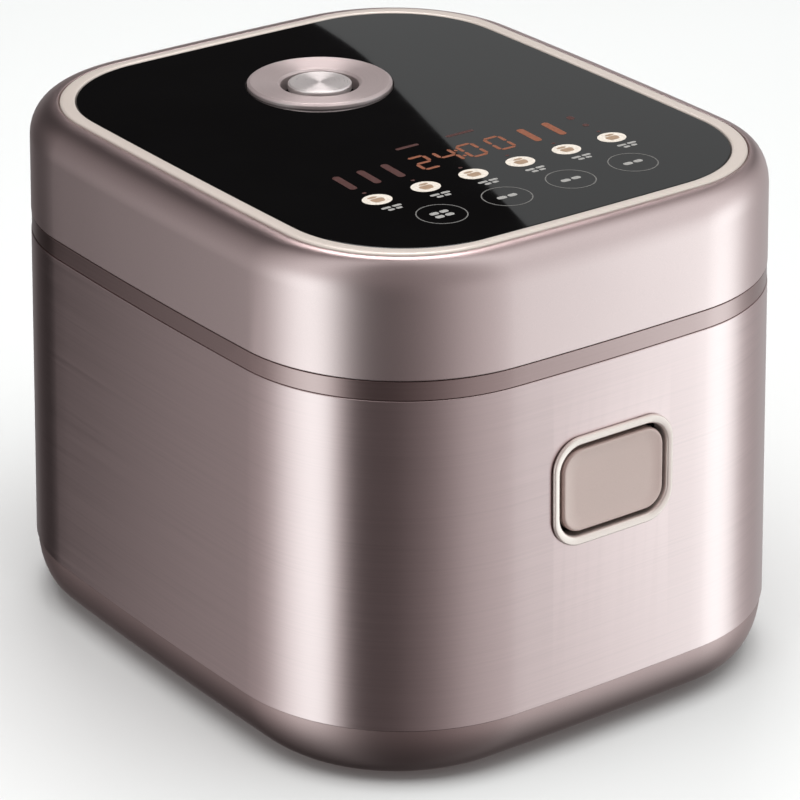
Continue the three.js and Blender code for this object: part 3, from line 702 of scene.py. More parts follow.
def corner_places(x, y, centre_y=0.0):
    return [(-x, centre_y - y), (x, centre_y - y), (x, centre_y + y), (-x, centre_y + y)]


def pegs(profile, places, rim, count):
    """The same turned piece at several places."""
    return [turned("peg", profile, place, rim, count) for place in places]


def boxed(name, body, surface, node, radius=0.6, steps=3):
    """A plain block that fills a CAD node's box."""
    dress(bar(name, low(node), high(node), radius, steps), body, surface, node)


PAN_SCREWS = corner_places(65, 65, POT_Y)
LID_SCREWS = corner_places(106, 58, BODY_Y)


# ---------------------------------------------------------------- body

def window(width, height, corner, z, y_from, y_to):
    """A rounded rectangular bar along Y, for cutting an opening."""
    ring = outline(plan(width, height, corner, 0.15), z)
    return standing(block_of("window", [(ring, y_from - y_to), (ring, 0)]), y_from)


def build_shell():
    bottom, top = extent("outer_shell", 2)
    path = rounded([(0, bottom, 0.3), (0, top, 0.5), (1, top, 0.45), (1, bottom, 0.3)], 0.5, True, 4)
    shell = loop_of("shell_skin", [(outline(plan_at(z, step)), z) for step, z in path])
    front, back = front_at(BUTTON_Z), back_at(INLET_Z)
    cut(
        shell,
        window(58.4, 44.3, 11.6, BUTTON_Z, front - 3, front + 6),
        window(30.6, 24.6, 2.3, INLET_Z, back - 6, back + 3),
    )
    dress(shell, "base", brushed_rose, "outer_shell")


def build_pan():
    bottom = low("base_pan")[2]
    top = low("outer_shell")[2] - 0.3
    rim = plan_at(top, 0.6)
    wall = 2.4

    def curve(shrink, steps):
        rings = []
        for i in range(steps + 1):
            angle = pi / 2 * i / steps
            shape = PAN_FLOOR + (rim - PAN_FLOOR) * sin(angle)
            rings.append((outline(inset(shape, shrink)), bottom + (top - bottom) * (1 - cos(angle))))
        return rings

    outer = curve(0, 18)
    inner = [(ring, max(z, bottom + 2.5)) for ring, z in curve(wall, 10)][::-1]
    lip = [(0.9, top), (1.3, top + 0.1), (1.3, top + 7.6), (1.7, top + 8), (2.7, top + 8), (3.1, top + 7.6), (3.1, top)]
    rings = outer + [(outline(plan_at(z, step)), z) for step, z in lip] + inner
    pan = block_of("pan_skin", rings)
    join(pan, *pegs(section(0, 6, 4, 20), PAN_SCREWS, 0.5, 40))
    cut(pan, *pegs([(0, 0), (4, 0), (4, 9), (1.9, 9), (1.9, 30), (0, 30)], PAN_SCREWS, 0, 32))
    for x in range(-27, 28, 9):
        reach = sqrt(32 ** 2 - x ** 2)
        cut(pan, bar("slot", (x - 2.2, FAN_Y - reach, 0), (x + 2.2, FAN_Y + reach, 7), 2.1, 6))
    dress(pan, "base", base_rose, "base_pan")


def build_collar():
    seat = 171.0
    deck = outline(plan_at(DECK_TOP, 2.4))

    def ring(step, z):
        return outline(plan_at(z, step)), z

    def mouth(radius, z):
        return circle_facing(deck, radius, (0, POT_Y)), z

    collar = loop_of("collar_skin", [
        ring(1.6, 160), ring(1.3, 160.3), ring(1.3, 172.42), ring(0.45, 172.5), ring(0.25, 172.7),
        ring(0.25, DECK_TOP), ring(0.4, DECK_TOP + 0.2), ring(0.9, DECK_TOP + 0.25), ring(2.4, DECK_TOP),
        mouth(114, DECK_TOP), mouth(112.9, DECK_TOP - 0.15), mouth(112.2, DECK_TOP - 0.6), mouth(112, DECK_TOP - 1.3),
        mouth(112, seat + 0.4), mouth(111.6, seat), mouth(107.8, seat), mouth(107.2, seat - 0.3), mouth(107, seat - 1),
        mouth(107, 160.3), mouth(107.3, 160), mouth(114.7, 160), mouth(115, 160.3), mouth(115, DECK_TOP - 2.4),
        ring(3.7, DECK_TOP - 2.4), ring(3.7, 160.3), ring(3.4, 160),
    ])
    for side in (-1, 1):
        x0, x1 = sorted((side * (KNUCKLE_HALF + 1), side * (KNUCKLE_HALF + 14)))
        arm = sideways("arm", [
            (BODY_Y + 140, 173.3), (HINGE_Y - 1, 173.3, 3), (HINGE_Y + 3, 177, 3),
            (HINGE_Y, DECK_TOP), (BODY_Y + 140, DECK_TOP),
        ], x0, x1)
        join(collar, arm, rod("ear", 7, x0, x1, HINGE_Y, HINGE_Z, 64, 0.8))
    slot = bar("slot", (-11, BODY_Y - 143.6, 165), (11, BODY_Y - 126.8, DECK_TOP + 2), 2)
    cut(collar, slot, rod("bore", 2.35, -60, 60, HINGE_Y, HINGE_Z, 48, 0))
    dress(collar, "base", band_rose, "upper_collar")


def tipped(thing, y, z):
    """Tips an upright piece about (y, z) so that it lies along the flared wall at the front or the back."""
    turn = Matrix.Rotation(copysign(atan(FLARE), y), 4, "X")
    place = Vector((0, y, z)) * MM
    thing.data.transform(Matrix.Translation(place) @ turn @ Matrix.Translation(-place))
    return thing


def build_button():
    front = front_at(BUTTON_Z)

    def upright(name, levels, make):
        """A piece from (width, height, corner, y) levels, tipped to lie in the front wall."""
        rings = [(outline(plan(w, h, c, 0.2), BUTTON_Z), -y) for w, h, c, y in levels]
        return tipped(standing(make(name, rings)), front, BUTTON_Z)

    wide, tall, corner = 61.6, 47.5, 13.2
    face = front - 1.5
    hole = np.array([55.1, 39.8, 10.5])
    sleeve = (57.8, 43.7, 11.3)
    bezel = upright("bezel_ring", [
        (wide, tall, corner, front - 0.3), (wide, tall, corner, face + 0.75),
        (wide - 0.3, tall - 0.3, corner - 0.1, face + 0.35), (wide - 0.9, tall - 0.9, corner - 0.4, face + 0.08),
        (wide - 1.6, tall - 1.6, corner - 0.8, face), (*(hole + [1.9, 1.9, 0.9]), face + 0.06),
        (*(hole + [0.9, 0.9, 0.5]), face + 0.4), (*(hole + [0.3, 0.3, 0.2]), face + 1), (*hole, face + 2),
        (*hole, front + 5.5), (*sleeve, front + 5.5), (*sleeve, front - 0.3),
    ], loop_of)
    dress(bezel, "base", painted_bright_champagne, "button_bezel")

    face = front - 0.9
    cap = upright("button_cap", [(51.6 - inward, 36 - inward, corner, face + back) for inward, corner, back in (
        (14, 4, 0.55), (8, 6, 0.4), (4, 7.4, 0.18), (2.2, 8.1, 0.02), (1.2, 8.5, 0.08), (0.5, 8.7, 0.35),
        (0, 8.9, 1.1), (0, 8.9, 3.5), (3, 7.4, 3.5), (3, 7.4, 2.4),
    )], block_of)
    for stem in pegs(section(0, 2, -(front + 7), -(front + 1)), [(x, BUTTON_Z) for x in (-14, 14)], 0.3, 32):
        join(cap, standing(stem))
    join(cap, bar("nudge", (-4, front + 2, 113.5), (4, BODY_Y - 140, 118.5)))
    dress(cap, "button", satin_champagne, "release_button")

    for side, x in (("left", -14), ("right", 14)):
        node = f"button_spring_{side}"
        start, end = extent(node, 1)
        spring = coil(f"spring_of_button_{side}", (x, BUTTON_Z), 3.2, 0.8, start, end, 6, "y")
        dress(spring, "base", steel, node)
        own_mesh(spring)


def build_latch():
    y, z = LATCH_Y, LATCH_Z
    foot = BODY_Y - 139.6
    stem = BODY_Y - 140.2
    lever = sideways("hook_lever", [
        (y - 2.4, z - 3.6, 1), (y - 2.4, 119, 0.8), (foot, 118.6), (foot, 113.6), (foot + 5, 113.6),
        (y + 1.2, 119, 2), (y + 2.6, z - 3.4, 3), (y + 3.2, z + 2.8, 3), (stem + 2.6, 156, 4),
        (stem + 2.6, 170.4, 0.3), (stem + 6.1, 170.4, 0.3), (stem + 6.1, 172.6, 0.5), (stem + 2.8, 176.2, 0.6),
        (stem, 176.2, 0.6), (stem, 154, 4), (y - 3.6, z + 2, 2),
    ], -4, 4)
    join(lever, rod("boss", 4.2, -4, 4, y, z, 48, 0.2))
    cut(lever, rod("bore", 1.85, -9, 9, y, z, 32, 0))
    dress(lever, "latch", steel, "latch_hook")
    dress(rod("latch_axle", 1.5, -11, 11, y, z, 32), "base", steel, "latch_pin")
    plate_low, plate_high = low("latch_bracket"), high("latch_bracket")
    bracket = bar("hook_bracket", (plate_low[0], plate_high[1] - 1.8, plate_low[2]), plate_high, 0.8)
    for a, b in ((-8, -5), (5, 8)):
        join(bracket, bar("ear", (a, plate_low[1], 140), (b, plate_high[1] - 0.5, 152), 0.8))
    cut(bracket, rod("bore", 1.85, -20, 20, y, z, 32, 0))
    dress(bracket, "base", steel, "latch_bracket")


def build_hinge():
    dress(rod("hinge_axle", 2, *extent("hinge_pin", 0), HINGE_Y, HINGE_Z), "base", steel, "hinge_pin")
    for side in ("left", "right"):
        node = f"hinge_spring_{side}"
        spring = coil(f"spring_of_hinge_{side}", (HINGE_Y, HINGE_Z), 3.7, 1.2, *extent(node, 0), 8, "x", False)
        dress(spring, "base", steel, node)


def build_inlet():
    back = back_at(INLET_Z)

    def upright(name, levels):
        return standing(block_of(name, [(outline(plan(w, h, c, 0.1), INLET_Z), -y) for w, h, c, y in levels]))

    body = upright("inlet_body", [(30, 24, 2, back - 19), (30, 24, 2, back + 1)])
    flange = upright("inlet_flange", [
        (34, 28, 3, back + 0.3), (34, 28, 3, back + 1.2), (33.6, 27.6, 2.9, back + 1.6), (33, 27, 2.7, back + 1.8),
    ])
    socket = join(body, tipped(flange, back, INLET_Z))
    cut(socket, upright("socket_hole", [
        (24.6, 17.6, 3, back - 15), (24.6, 17.6, 3, back + 0.9), (26, 19, 3.7, back + 1.7), (27, 20, 4.2, back + 3),
    ]))
    pins = (("line", -7, -2.5), ("neutral", 7, -2.5), ("earth", 0, 3.5))
    cut(socket, *[bar("hole", (x - 1.5, back - 20, INLET_Z + z - 2.5), (x + 1.5, back - 14, INLET_Z + z + 2.5), 0.1)
                  for _, x, z in pins])
    dress(socket, "base", black_plastic, "power_inlet")
    for name, *_ in pins:
        boxed(f"blade_{name}", "base", steel, f"inlet_pin_{name}", 0.9, 4)


def bend(bend_z, offset, steps):
    """The pot's rounded bottom corner, moved outwards, as profile points whose middle is at bend_z."""
    angles = np.radians(-90 + 90 * np.arange(steps + 1) / steps)
    radius = POT_BEND + offset
    return [(POT_FLAT + radius * cos(a), bend_z + radius * sin(a), 0) for a in angles]


def build_heating():
    pot, bend_z = (0, POT_Y), 86.5
    inside, outside = bend(bend_z, 5.3, 20), bend(bend_z, 8, 20)
    profile = [(19.8, inside[0][1], 0.3), *inside, *outside[::-1], (19.8, outside[0][1], 0.3)]
    carrier = turned("carrier_bowl", profile, pot, 0)
    legs = pegs(section(0, 5.5, 20.3, 52), PAN_SCREWS, 0.5, 40)
    for leg, bore in zip(legs, pegs(section(0, 1.9, 10, 29), PAN_SCREWS, 0, 24)):
        join(carrier, cut(leg, bore))
    dress(carrier, "base", white_plastic, "coil_carrier")

    turns = 14
    steps = turns * 48
    share = np.linspace(0, 1, steps + 1)
    angle = 2 * pi * turns * share
    first, around = 29.5, POT_BEND + 11.2
    straight = POT_FLAT - first
    travelled = share * (straight + around * radians(29))
    over = np.clip(travelled - straight, 0, None) / around
    radius = first + np.minimum(travelled, straight) + around * np.sin(over)
    height = bend_z - around * np.cos(over)
    path = np.column_stack([radius * np.cos(angle), POT_Y + radius * np.sin(angle), height])
    winding = wire("litz_winding", path, 3.2, 12)
    dress(winding, "base", copper, "induction_coil")

    for index in range(1, 5):
        boxed(f"ferrite_{index}", "base", ferrite, f"ferrite_bar_{index}", 0.8)
    liner = turned("chamber_wall", section(104.8, 106, *extent("chamber_liner", 2)), pot, 0.3, 144)
    dress(liner, "base", aluminium, "chamber_liner")
    holder = turned("probe_holder", [
        (5, 26), (19.4, 26), (19.4, 35), (24, 35), (24, 38.1), (19.4, 38.1), (19.4, 41), (14, 41), (14, 28), (5, 28),
    ], pot, 0.35, 64)
    dress(holder, "base", white_plastic, "sensor_holder")
    profile = [(0, 44.2), (11.4, 44.2), (11.4, 35.6), (13.3, 35.6), (13.3, 46.2, 1.2), (0, 46.2)]
    cap = turned("probe_cap", profile, pot, 0.3, 64)
    dress(cap, "sensor", aluminium, "sensor_cap")
    start, end = extent("sensor_spring", 2)
    spring = coil("spring_of_probe", pot, 8, 1.2, start, end, 4)
    dress(spring, "base", steel, "sensor_spring")
    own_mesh(spring)


def build_electronics():
    (x0, y0, z0), (x1, _, z1) = low("power_board"), high("power_board")
    board_y = y0 + 5
    board = bar("supply_board", (x0, board_y, z0), (x1, board_y + 1.6, z1), 0.4)
    dress(board, "base", circuit, "power_board")
    front, rear = board_y - 0.05, board_y + 1.65
    for name, x0, x1, z0, z1, ya, yb, material in (
        ("relay", -56, -38, 126, 148, front - 4.9, front, white_plastic),
        ("bridge", -30, -8, 136, 150, front - 4.9, front, black_plastic),
        ("choke", 40, 56, 80, 104, rear, rear + 15.3, copper),
        ("supply_chip", 42, 54, 116, 134, rear, rear + 11.3, black_plastic),
        ("film_capacitor", -58, -42, 84, 110, rear, rear + 12.3, grey_plastic),
    ):
        dress(bar(name, (x0, ya, z0), (x1, yb, z1), 1.2, 4), "base", material)

    sink_low, sink_high = low("heat_sink"), high("heat_sink")
    fins = 8
    pitch = 68 / (fins - 0.6)
    root = sink_low[1] + 4
    points = [(-34, sink_low[1]), (34, sink_low[1])]
    for i in range(fins):
        right = 34 - i * pitch
        left = right - pitch * 0.4
        points += ([(right, root)] if i else []) + [(right, sink_high[1]), (left, sink_high[1])]
        points += [(left, root)] if i < fins - 1 else []
    ring = np.array(rounded(points, 0.5, True, 3))
    sink = block_of("cooling_fins", [(ring, sink_low[2]), (ring, sink_high[2])], 30)
    dress(sink, "base", aluminium, "heat_sink")


def fan_blade(turn):
    """A twisted, cambered blade round the fan's axis, as a closed shell."""
    spans, chords, inner, outer = 8, 6, 12, 33.2
    vertices, faces = [], []
    for side in (1, -1):
        for i in range(spans + 1):
            out = i / spans
            reach, width = inner + (outer - inner) * out, 5.2 + 1.2 * out
            pitch = radians(48 - 20 * out)
            for j in range(chords + 1):
                chord = j / chords * 2 - 1
                across, lift = chord * width, 1.1 * (1 - chord ** 2) + side * 0.55
                sweep = (across * cos(pitch) - lift * sin(pitch)) / reach + turn
                height = 14.1 + (across * sin(pitch) + lift * cos(pitch))
                vertices.append((reach * cos(sweep), FAN_Y + reach * sin(sweep), height))
    row = chords + 1
    sheet = (spans + 1) * row
    for i in range(spans):
        for j in range(chords):
            a = i * row + j
            faces.append((a, a + 1, a + row + 1, a + row))
            faces.append((sheet + a, sheet + a + row, sheet + a + row + 1, sheet + a + 1))
    rim = [i * row for i in range(spans + 1)] + [spans * row + j for j in range(1, chords + 1)]
    rim += [i * row + chords for i in range(spans - 1, -1, -1)] + [*range(chords - 1, 0, -1)]
    faces += [(here, there, sheet + there, sheet + here) for here, there in zip(rim, rim[1:] + rim[:1])]
    return piece("blade", vertices, faces)


def spun(thing, degrees, y):
    """Turns a piece about the upright axis, then moves it back to y."""
    thing.data.transform(Matrix.Rotation(radians(degrees), 4, "Z"))
    thing.data.transform(Matrix.Translation((0, y * MM, 0)))
    return thing


def build_fan():
    half, middle_at = 38, (0, FAN_Y)
    bottom, top = extent("fan_frame", 2)
    square = np.array(rounded(corner_places(half, half, FAN_Y), 4, True, 39))
    throat, flare = (circle_facing(square, half - step, middle_at) for step in (2, 1.2))
    housing = loop_of("fan_housing", [
        (square, bottom), (square, top), (flare, top), (throat, top - 1.2), (throat, bottom + 1.2), (flare, bottom),
    ])
    join(housing, turned("hub", section(0, 12, bottom, bottom + 2), middle_at, 0.3, 48))
    for index in range(3):
        strut = bar("strut", (9, -1.6, bottom), (half - 1, 1.6, bottom + 2), 0.5)
        join(housing, spun(strut, 30 + index * 120, FAN_Y))
    dress(housing, "base", black_plastic, "fan_frame")

    rotor = turned("impeller", [(0, 8.4), (13, 8.4), (13, 19.8, 1.5), (0, 19.8)], middle_at, 0.4, 64)
    for index in range(7):
        join(rotor, fan_blade(radians(index * 360 / 7)))
    dress(rotor, "fan", grey_plastic, "fan_rotor")


def build_underside():
    for index, (x, y) in enumerate(corner_places(80, 98, BODY_Y), 1):
        tall = high(f"foot_{index}")[2]
        foot = turned(f"rubber_foot_{index}", [
            (0, 0.35), (5.2, 0.35), (5.8, 0), (8.2, 0, 0.5), (9, 0.9, 0.5), (9, tall, 0.2), (0, tall),
        ], (x, y), 0.25, 64)
        dress(foot, "base", rubber, f"foot_{index}")
    for index, place in enumerate(PAN_SCREWS, 1):
        screw(f"pan_screw_{index}", place, "base", f"base_screw_{index}")


def build_pot():
    floor, rim = extent("inner_pot", 2)
    wall = 2.2
    bend_z, top = floor + POT_BEND, rim - 2
    profile = [
        (0, floor), *bend(bend_z, 0, 24), (99.4, top - 3, 2), (101.4, top, 0.6), (110, top, 0.9), (110, rim, 0.9),
        (99.8, rim, 1.6), (97.2, top - 5, 4), *bend(bend_z, -wall, 24)[::-1], (0, floor + wall),
    ]
    dress(turned("cooking_pot", profile, (0, POT_Y), 0, 160, 5), "pot", pot_coat, "inner_pot")
    marks = []
    for level in range(5):
        height = 92 + level * 13
        inner = 95.75 + (height - bend_z) / (top - 5 - bend_z) * 1.35
        half = radians(9 if level % 2 else 15) / 2
        angles = np.linspace(pi / 2 - half, pi / 2 + half, 13)
        near, far = (on_circle((0, POT_Y), inner + step, angles) for step in (-0.06, 0.1))
        ring = np.vstack([near, far[::-1]])
        marks.append(block_of("mark", [(ring, height), (ring, height + 0.9)]))
    dress(group("level_marks", marks), "pot", aluminium)


# ---------------------------------------------------------------- lid

def build_lid_shell():
    bottom, top = extent("lid_shell", 2)
    shoulder_z, ledge_z = 214, GLASS_TOP - 6.2
    wall = 2.4

    def side(step, z):
        return outline(plan_at(z, step)), z

    rings = [side(0.5, bottom), side(0.2, bottom + 0.08), side(0.04, bottom + 0.25), side(0, bottom + 0.6)]
    seat = inset(TRIM, -0.3)
    shoulder = plan_at(shoulder_z)
    for angle in np.linspace(0, pi / 2, 21):
        share = 1 - cos(angle)
        ring = outline(shoulder + (seat - shoulder) * share, BODY_Y + (PANEL_Y - BODY_Y) * share)
        rings.append((ring, shoulder_z + (top - shoulder_z) * sin(angle)))
    rings += [
        (outline(seat, PANEL_Y), ledge_z), (outline(LEDGE, PANEL_Y), ledge_z),
        (outline(LEDGE, PANEL_Y), ledge_z - 2.2), (outline(ROOF), ledge_z - 2.2),
        side(wall, shoulder_z - 3), side(wall, bottom + 0.3), side(wall - 0.4, bottom),
    ]
    lid = loop_of("lid_skin", rings)
    join(lid, *pegs(section(0, 4.8, 186.3, ledge_z - 1.5), LID_SCREWS, 0.4, 40))
    half = KNUCKLE_HALF + 0.6
    cut(lid, bar("notch", (-half, BODY_Y + 130, 170), (half, BODY_Y + 160, 189.4), 1.5))
    cut(lid, *pegs(section(0, 1.9, 180, 202), LID_SCREWS, 0, 24))
    dress(lid, "lid", satin_rose, "lid_shell")


def panel(shape, *levels):
    """Outlines at the glass panel's place, from (inward, z) levels."""
    return [(outline(inset(shape, step), PANEL_Y), z) for step, z in levels]


def build_trim():
    bottom, top = extent("rim_trim", 2)
    trim = loop_of("trim_ring", [
        *panel(TRIM, (0, bottom), (0, top - 1.2), (0.15, top - 0.6), (0.6, top - 0.18), (1.5, top), (3, top)),
        *panel(GLASS, (-1.4, top - 0.02), (-0.7, top - 0.22), (-0.36, top - 0.6), (-0.3, top - 1.2),
               (-0.3, GLASS_TOP - 4.3), (5, GLASS_TOP - 4.3), (5, bottom)),
    ])
    dress(trim, "lid", champagne, "rim_trim")


def build_glass():
    bottom, top = extent("glass_panel", 2)
    edge = outline(GLASS, PANEL_Y)
    hole = span("vent_ring")[0] / 2 + 0.45
    eye = [(hole + 0.3, top), (hole, top - 0.3), (hole, bottom + 0.3), (hole + 0.3, bottom)]
    pane = loop_of("glass_pane", [
        *panel(GLASS, (0.3, bottom), (0, bottom + 0.3), (0, top - 0.5), (0.15, top - 0.2), (0.5, top)),
        *((circle_facing(edge, radius, VENT), z) for radius, z in eye),
    ])
    dress(pane, "lid", glass, "glass_panel")


def build_liner():
    bottom, top = 183.4, 186
    plate = block_of("liner_plate", [
        (outline(plan_at(z, step)), z) for step, z in ((3.2, bottom), (2.7, bottom + 0.5), (2.7, top - 0.5), (3.2, top))
    ])
    pot = (0, POT_Y)
    join(plate, turned("skirt", [(107, 176.5, 0.9), (109, 176.5, 0.9), (109, 185), (107, 185)], pot, 0, 144))
    join(plate, turned("well", section(25.8, 27.8, bottom + 1, GLASS_TOP - 6.7), VENT, 0.4, 96))
    join(plate, *pegs(section(0, 3.5, 185, GLASS_TOP - 11.5), corner_places(66, 40, BODY_Y - 71), 0.3, 32))
    join(plate, bar("web", (-KNUCKLE_HALF, BODY_Y + 138, bottom), (KNUCKLE_HALF, HINGE_Y, HINGE_Z + 6.4), 0.5))
    join(plate, rod("knuckle", 6.5, -KNUCKLE_HALF, KNUCKLE_HALF, HINGE_Y, HINGE_Z, 64, 0.6))
    for ends in ((-40, -22), (22, 40)):
        cut(plate, rod("pocket", 5.2, *ends, HINGE_Y, HINGE_Z, 48, 0))
    cut(plate, *pegs(section(0, 1.9, 180, 190), LID_SCREWS, 0, 24))
    cut(plate, turned("steam", section(0, 10, 180, 190), VENT, 0, 64))
    cut(plate, bar("slot", (-8.4, BODY_Y - 130.4, 180), (8.4, BODY_Y - 128.1, 190), 0.3))
    cut(plate, rod("bore", 2.35, -60, 60, HINGE_Y, HINGE_Z, 48, 0))
    dress(plate, "lid", white_plastic, "lid_liner")


def build_inner_lid():
    pot = (0, POT_Y)
    profile = [(0, 179.6)]
    for ridge in (22, 34, 80, 90):
        profile += [(ridge - 3, 179.6, 2), (ridge - 1, 180.1, 1), (ridge + 1, 180.1, 1), (ridge + 3, 179.6, 2)]
    profile += [(96, 179.6, 0.8), (98, 178.8, 0.8), (99.6, 178.8, 0.6), (103, 179.6, 0.3), (103, 181.2, 0.3)]
    profile += [(0, 181.2)]
    plate = turned("inner_lid_disc", profile, pot, 0.4, 160)
    cut(plate, turned("steam", section(0, 9, 170, 190), VENT, 0, 64))
    dress(plate, "lid", lid_aluminium, "inner_lid_plate")
    gasket = turned("inner_lid_seal", [
        (99.6, 173.7, 0.5), (103, 173.9, 1), (106, 173.7, 0.6), (106, 182.2, 0.6), (100.4, 182.2, 0.3),
        (100.4, 181.5, 0.2), (103.4, 181.5, 0.2), (103.4, 178.4, 0.3), (102.4, 177.4, 0.5),
    ], pot, 0.3, 160)
    dress(gasket, "lid", silicone, "inner_lid_gasket")
    boxed("inner_lid_tab", "lid", silicone, "inner_lid_clip", 1.2, 4)
    seal = turned("steam_ring", section(10.6, 14, 181.5, 183.1), VENT, 0.6, 64)
    dress(seal, "lid", silicone, "steam_seal")
    y = BODY_Y
    catch = sideways("catch_strip", [
        (y - 130.1, 167, 0.4), (y - 128.4, 167, 0.4), (y - 128.4, 186.3, 0.2), (y - 120, 186.3), (y - 120, 187.8),
        (y - 130.1, 187.8, 1.2), (y - 130.1, 169.4, 0.3), (y - 133.5, 169.4, 0.4), (y - 133.5, 167, 0.8),
    ], -8, 8, 0.3)
    dress(catch, "lid", steel, "lid_catch")
    for index, place in enumerate(LID_SCREWS, 1):
        screw(f"liner_screw_{index}", place, "lid", f"lid_screw_{index}")


def build_vent():
    edge = span("vent_ring")[0] / 2
    top = high("vent_ring")[2]
    ring = turned("vent_crown", [
        (17, top - 7.8, 0.2), (23.8, top - 7.8, 0.2), (23.8, top - 4.8, 0.2), (edge, top - 4.8, 0.4),
        (edge, top - 0.95, 0.7), (edge - 1.3, top, 0.8), (18.1, top - 1.1, 0.7), (17, top - 2, 0.5),
    ], VENT, 0, 144, 6)
    dress(ring, "vent", vent_metal, "vent_ring")
    face = high("vent_disc")[2]
    disc_r = span("vent_disc")[0] / 2
    disc = turned("vent_button", [
        (0, face - 13.1), (3.4, face - 13.1, 0.3), (3.4, face - 3.8, 0.8), (disc_r - 0.8, face - 3.8, 0.3),
        (disc_r, face - 3, 0.3), (disc_r, face - 0.5, 0.5), (disc_r - 0.7, face, 0.6), (0, face - 0.12),
    ], VENT, 0, 96, 6)
    dress(disc, "vent", painted_bright_vent_metal, "vent_disc")
    floor = low("vent_cup")[2]
    cup = turned("steam_cup", [
        (4, floor, 0.3), (25.3, floor, 1.6), (25.3, floor + 32, 0.3), (23.8, floor + 32, 0.3), (23.8, floor + 2, 1.2),
        (4, floor + 2, 0.3),
    ], VENT, 0, 96)
    for degrees in (0, 60, 120):
        spoke = bar("spoke", (-24.8, -1.5, floor + 23), (24.8, 1.5, floor + 26), 0.5)
        join(cup, spun(spoke, degrees, VENT_Y))
    dress(cup, "vent", black_plastic, "vent_cup")
    foot = low("vent_float")[2]
    valve = turned("steam_valve", [
        (0, foot), (3.2, foot, 0.8), (3.2, foot + 4.5, 0.2), (8, foot + 4.5, 0.4), (8, foot + 6.2, 0.8),
        (5.5, foot + 9.6, 1.5), (0, foot + 10.6),
    ], VENT, 0, 64)
    dress(valve, "float", silicone, "vent_float")


def build_controls():
    """The boards under the glass."""
    boxed("control_board", "lid", circuit, "display_board")
    boxed("display_module", "lid", black_plastic, "led_display", 1)
    boxed("touch_foam", "lid", rubber, "touch_strip", 1.5, 4)


# ---------------------------------------------------------------- what shows through the glass

PRINT_Z = GLASS_TOP + 0.02
PRINT_THICK = 0.03
LEAN = 0.07  # the display's figures lean to the right


def decal(points, lean=0.0):
    """A thin flat shape on the glass, from [x, y] points in the body's own plan."""
    ring = np.array([(x + lean * (y - DISPLAY_Y), y + BODY_Y) for x, y in points])
    return block_of("decal", [(ring, PRINT_Z), (ring, PRINT_Z + PRINT_THICK)], 30)


def oval(x, y, wide, deep, count=40):
    return [(x + wide / 2 * cos(a), y + deep / 2 * sin(a)) for a in 2 * pi * np.arange(count) / count]


def pill(x0, y0, x1, y1):
    """A flat bar with round ends."""
    return rounded([(x0, y0), (x1, y0), (x1, y1), (x0, y1)], 0.48 * min(x1 - x0, y1 - y0), True, 4)


def dashes(x, y, reach, half):
    """Two short dashes side by side, in place of a word."""
    return [decal(pill(x0, y - half, x1, y + half)) for x0, x1 in ((x - reach, x - 0.3), (x + 0.5, x + reach))]


def digit(character, x, wide, tall):
    """The lit segments of a seven-segment figure whose middle is at x, on the display's line."""
    lit = {"0": "abcdef", "2": "abged", "4": "fgbc"}[character]
    thick, gap = 1.7, 0.35
    half_w, half_t = wide / 2, tall / 2

    def level(y):
        reach = half_w - thick * 0.5 - gap
        return [(x - reach - 0.2, y), (x - reach + 0.65, y + thick / 2), (x + reach - 0.65, y + thick / 2),
                (x + reach + 0.2, y), (x + reach - 0.65, y - thick / 2), (x - reach + 0.65, y - thick / 2)]

    def upright(side, y_low, y_high):
        at = x + side * (half_w - thick / 2)
        return [(at, y_low + gap), (at + thick / 2, y_low + gap + 0.85), (at + thick / 2, y_high - gap - 0.85),
                (at, y_high - gap), (at - thick / 2, y_high - gap - 0.85), (at - thick / 2, y_low + gap + 0.85)]

    top, bottom = DISPLAY_Y + half_t - thick / 2, DISPLAY_Y - half_t + thick / 2
    places = {
        "a": level(top), "g": level(DISPLAY_Y), "d": level(bottom),
        "f": upright(-1, DISPLAY_Y, top), "b": upright(1, DISPLAY_Y, top),
        "e": upright(-1, bottom, DISPLAY_Y), "c": upright(1, bottom, DISPLAY_Y),
    }
    return [decal(places[segment], LEAN) for segment in lit]


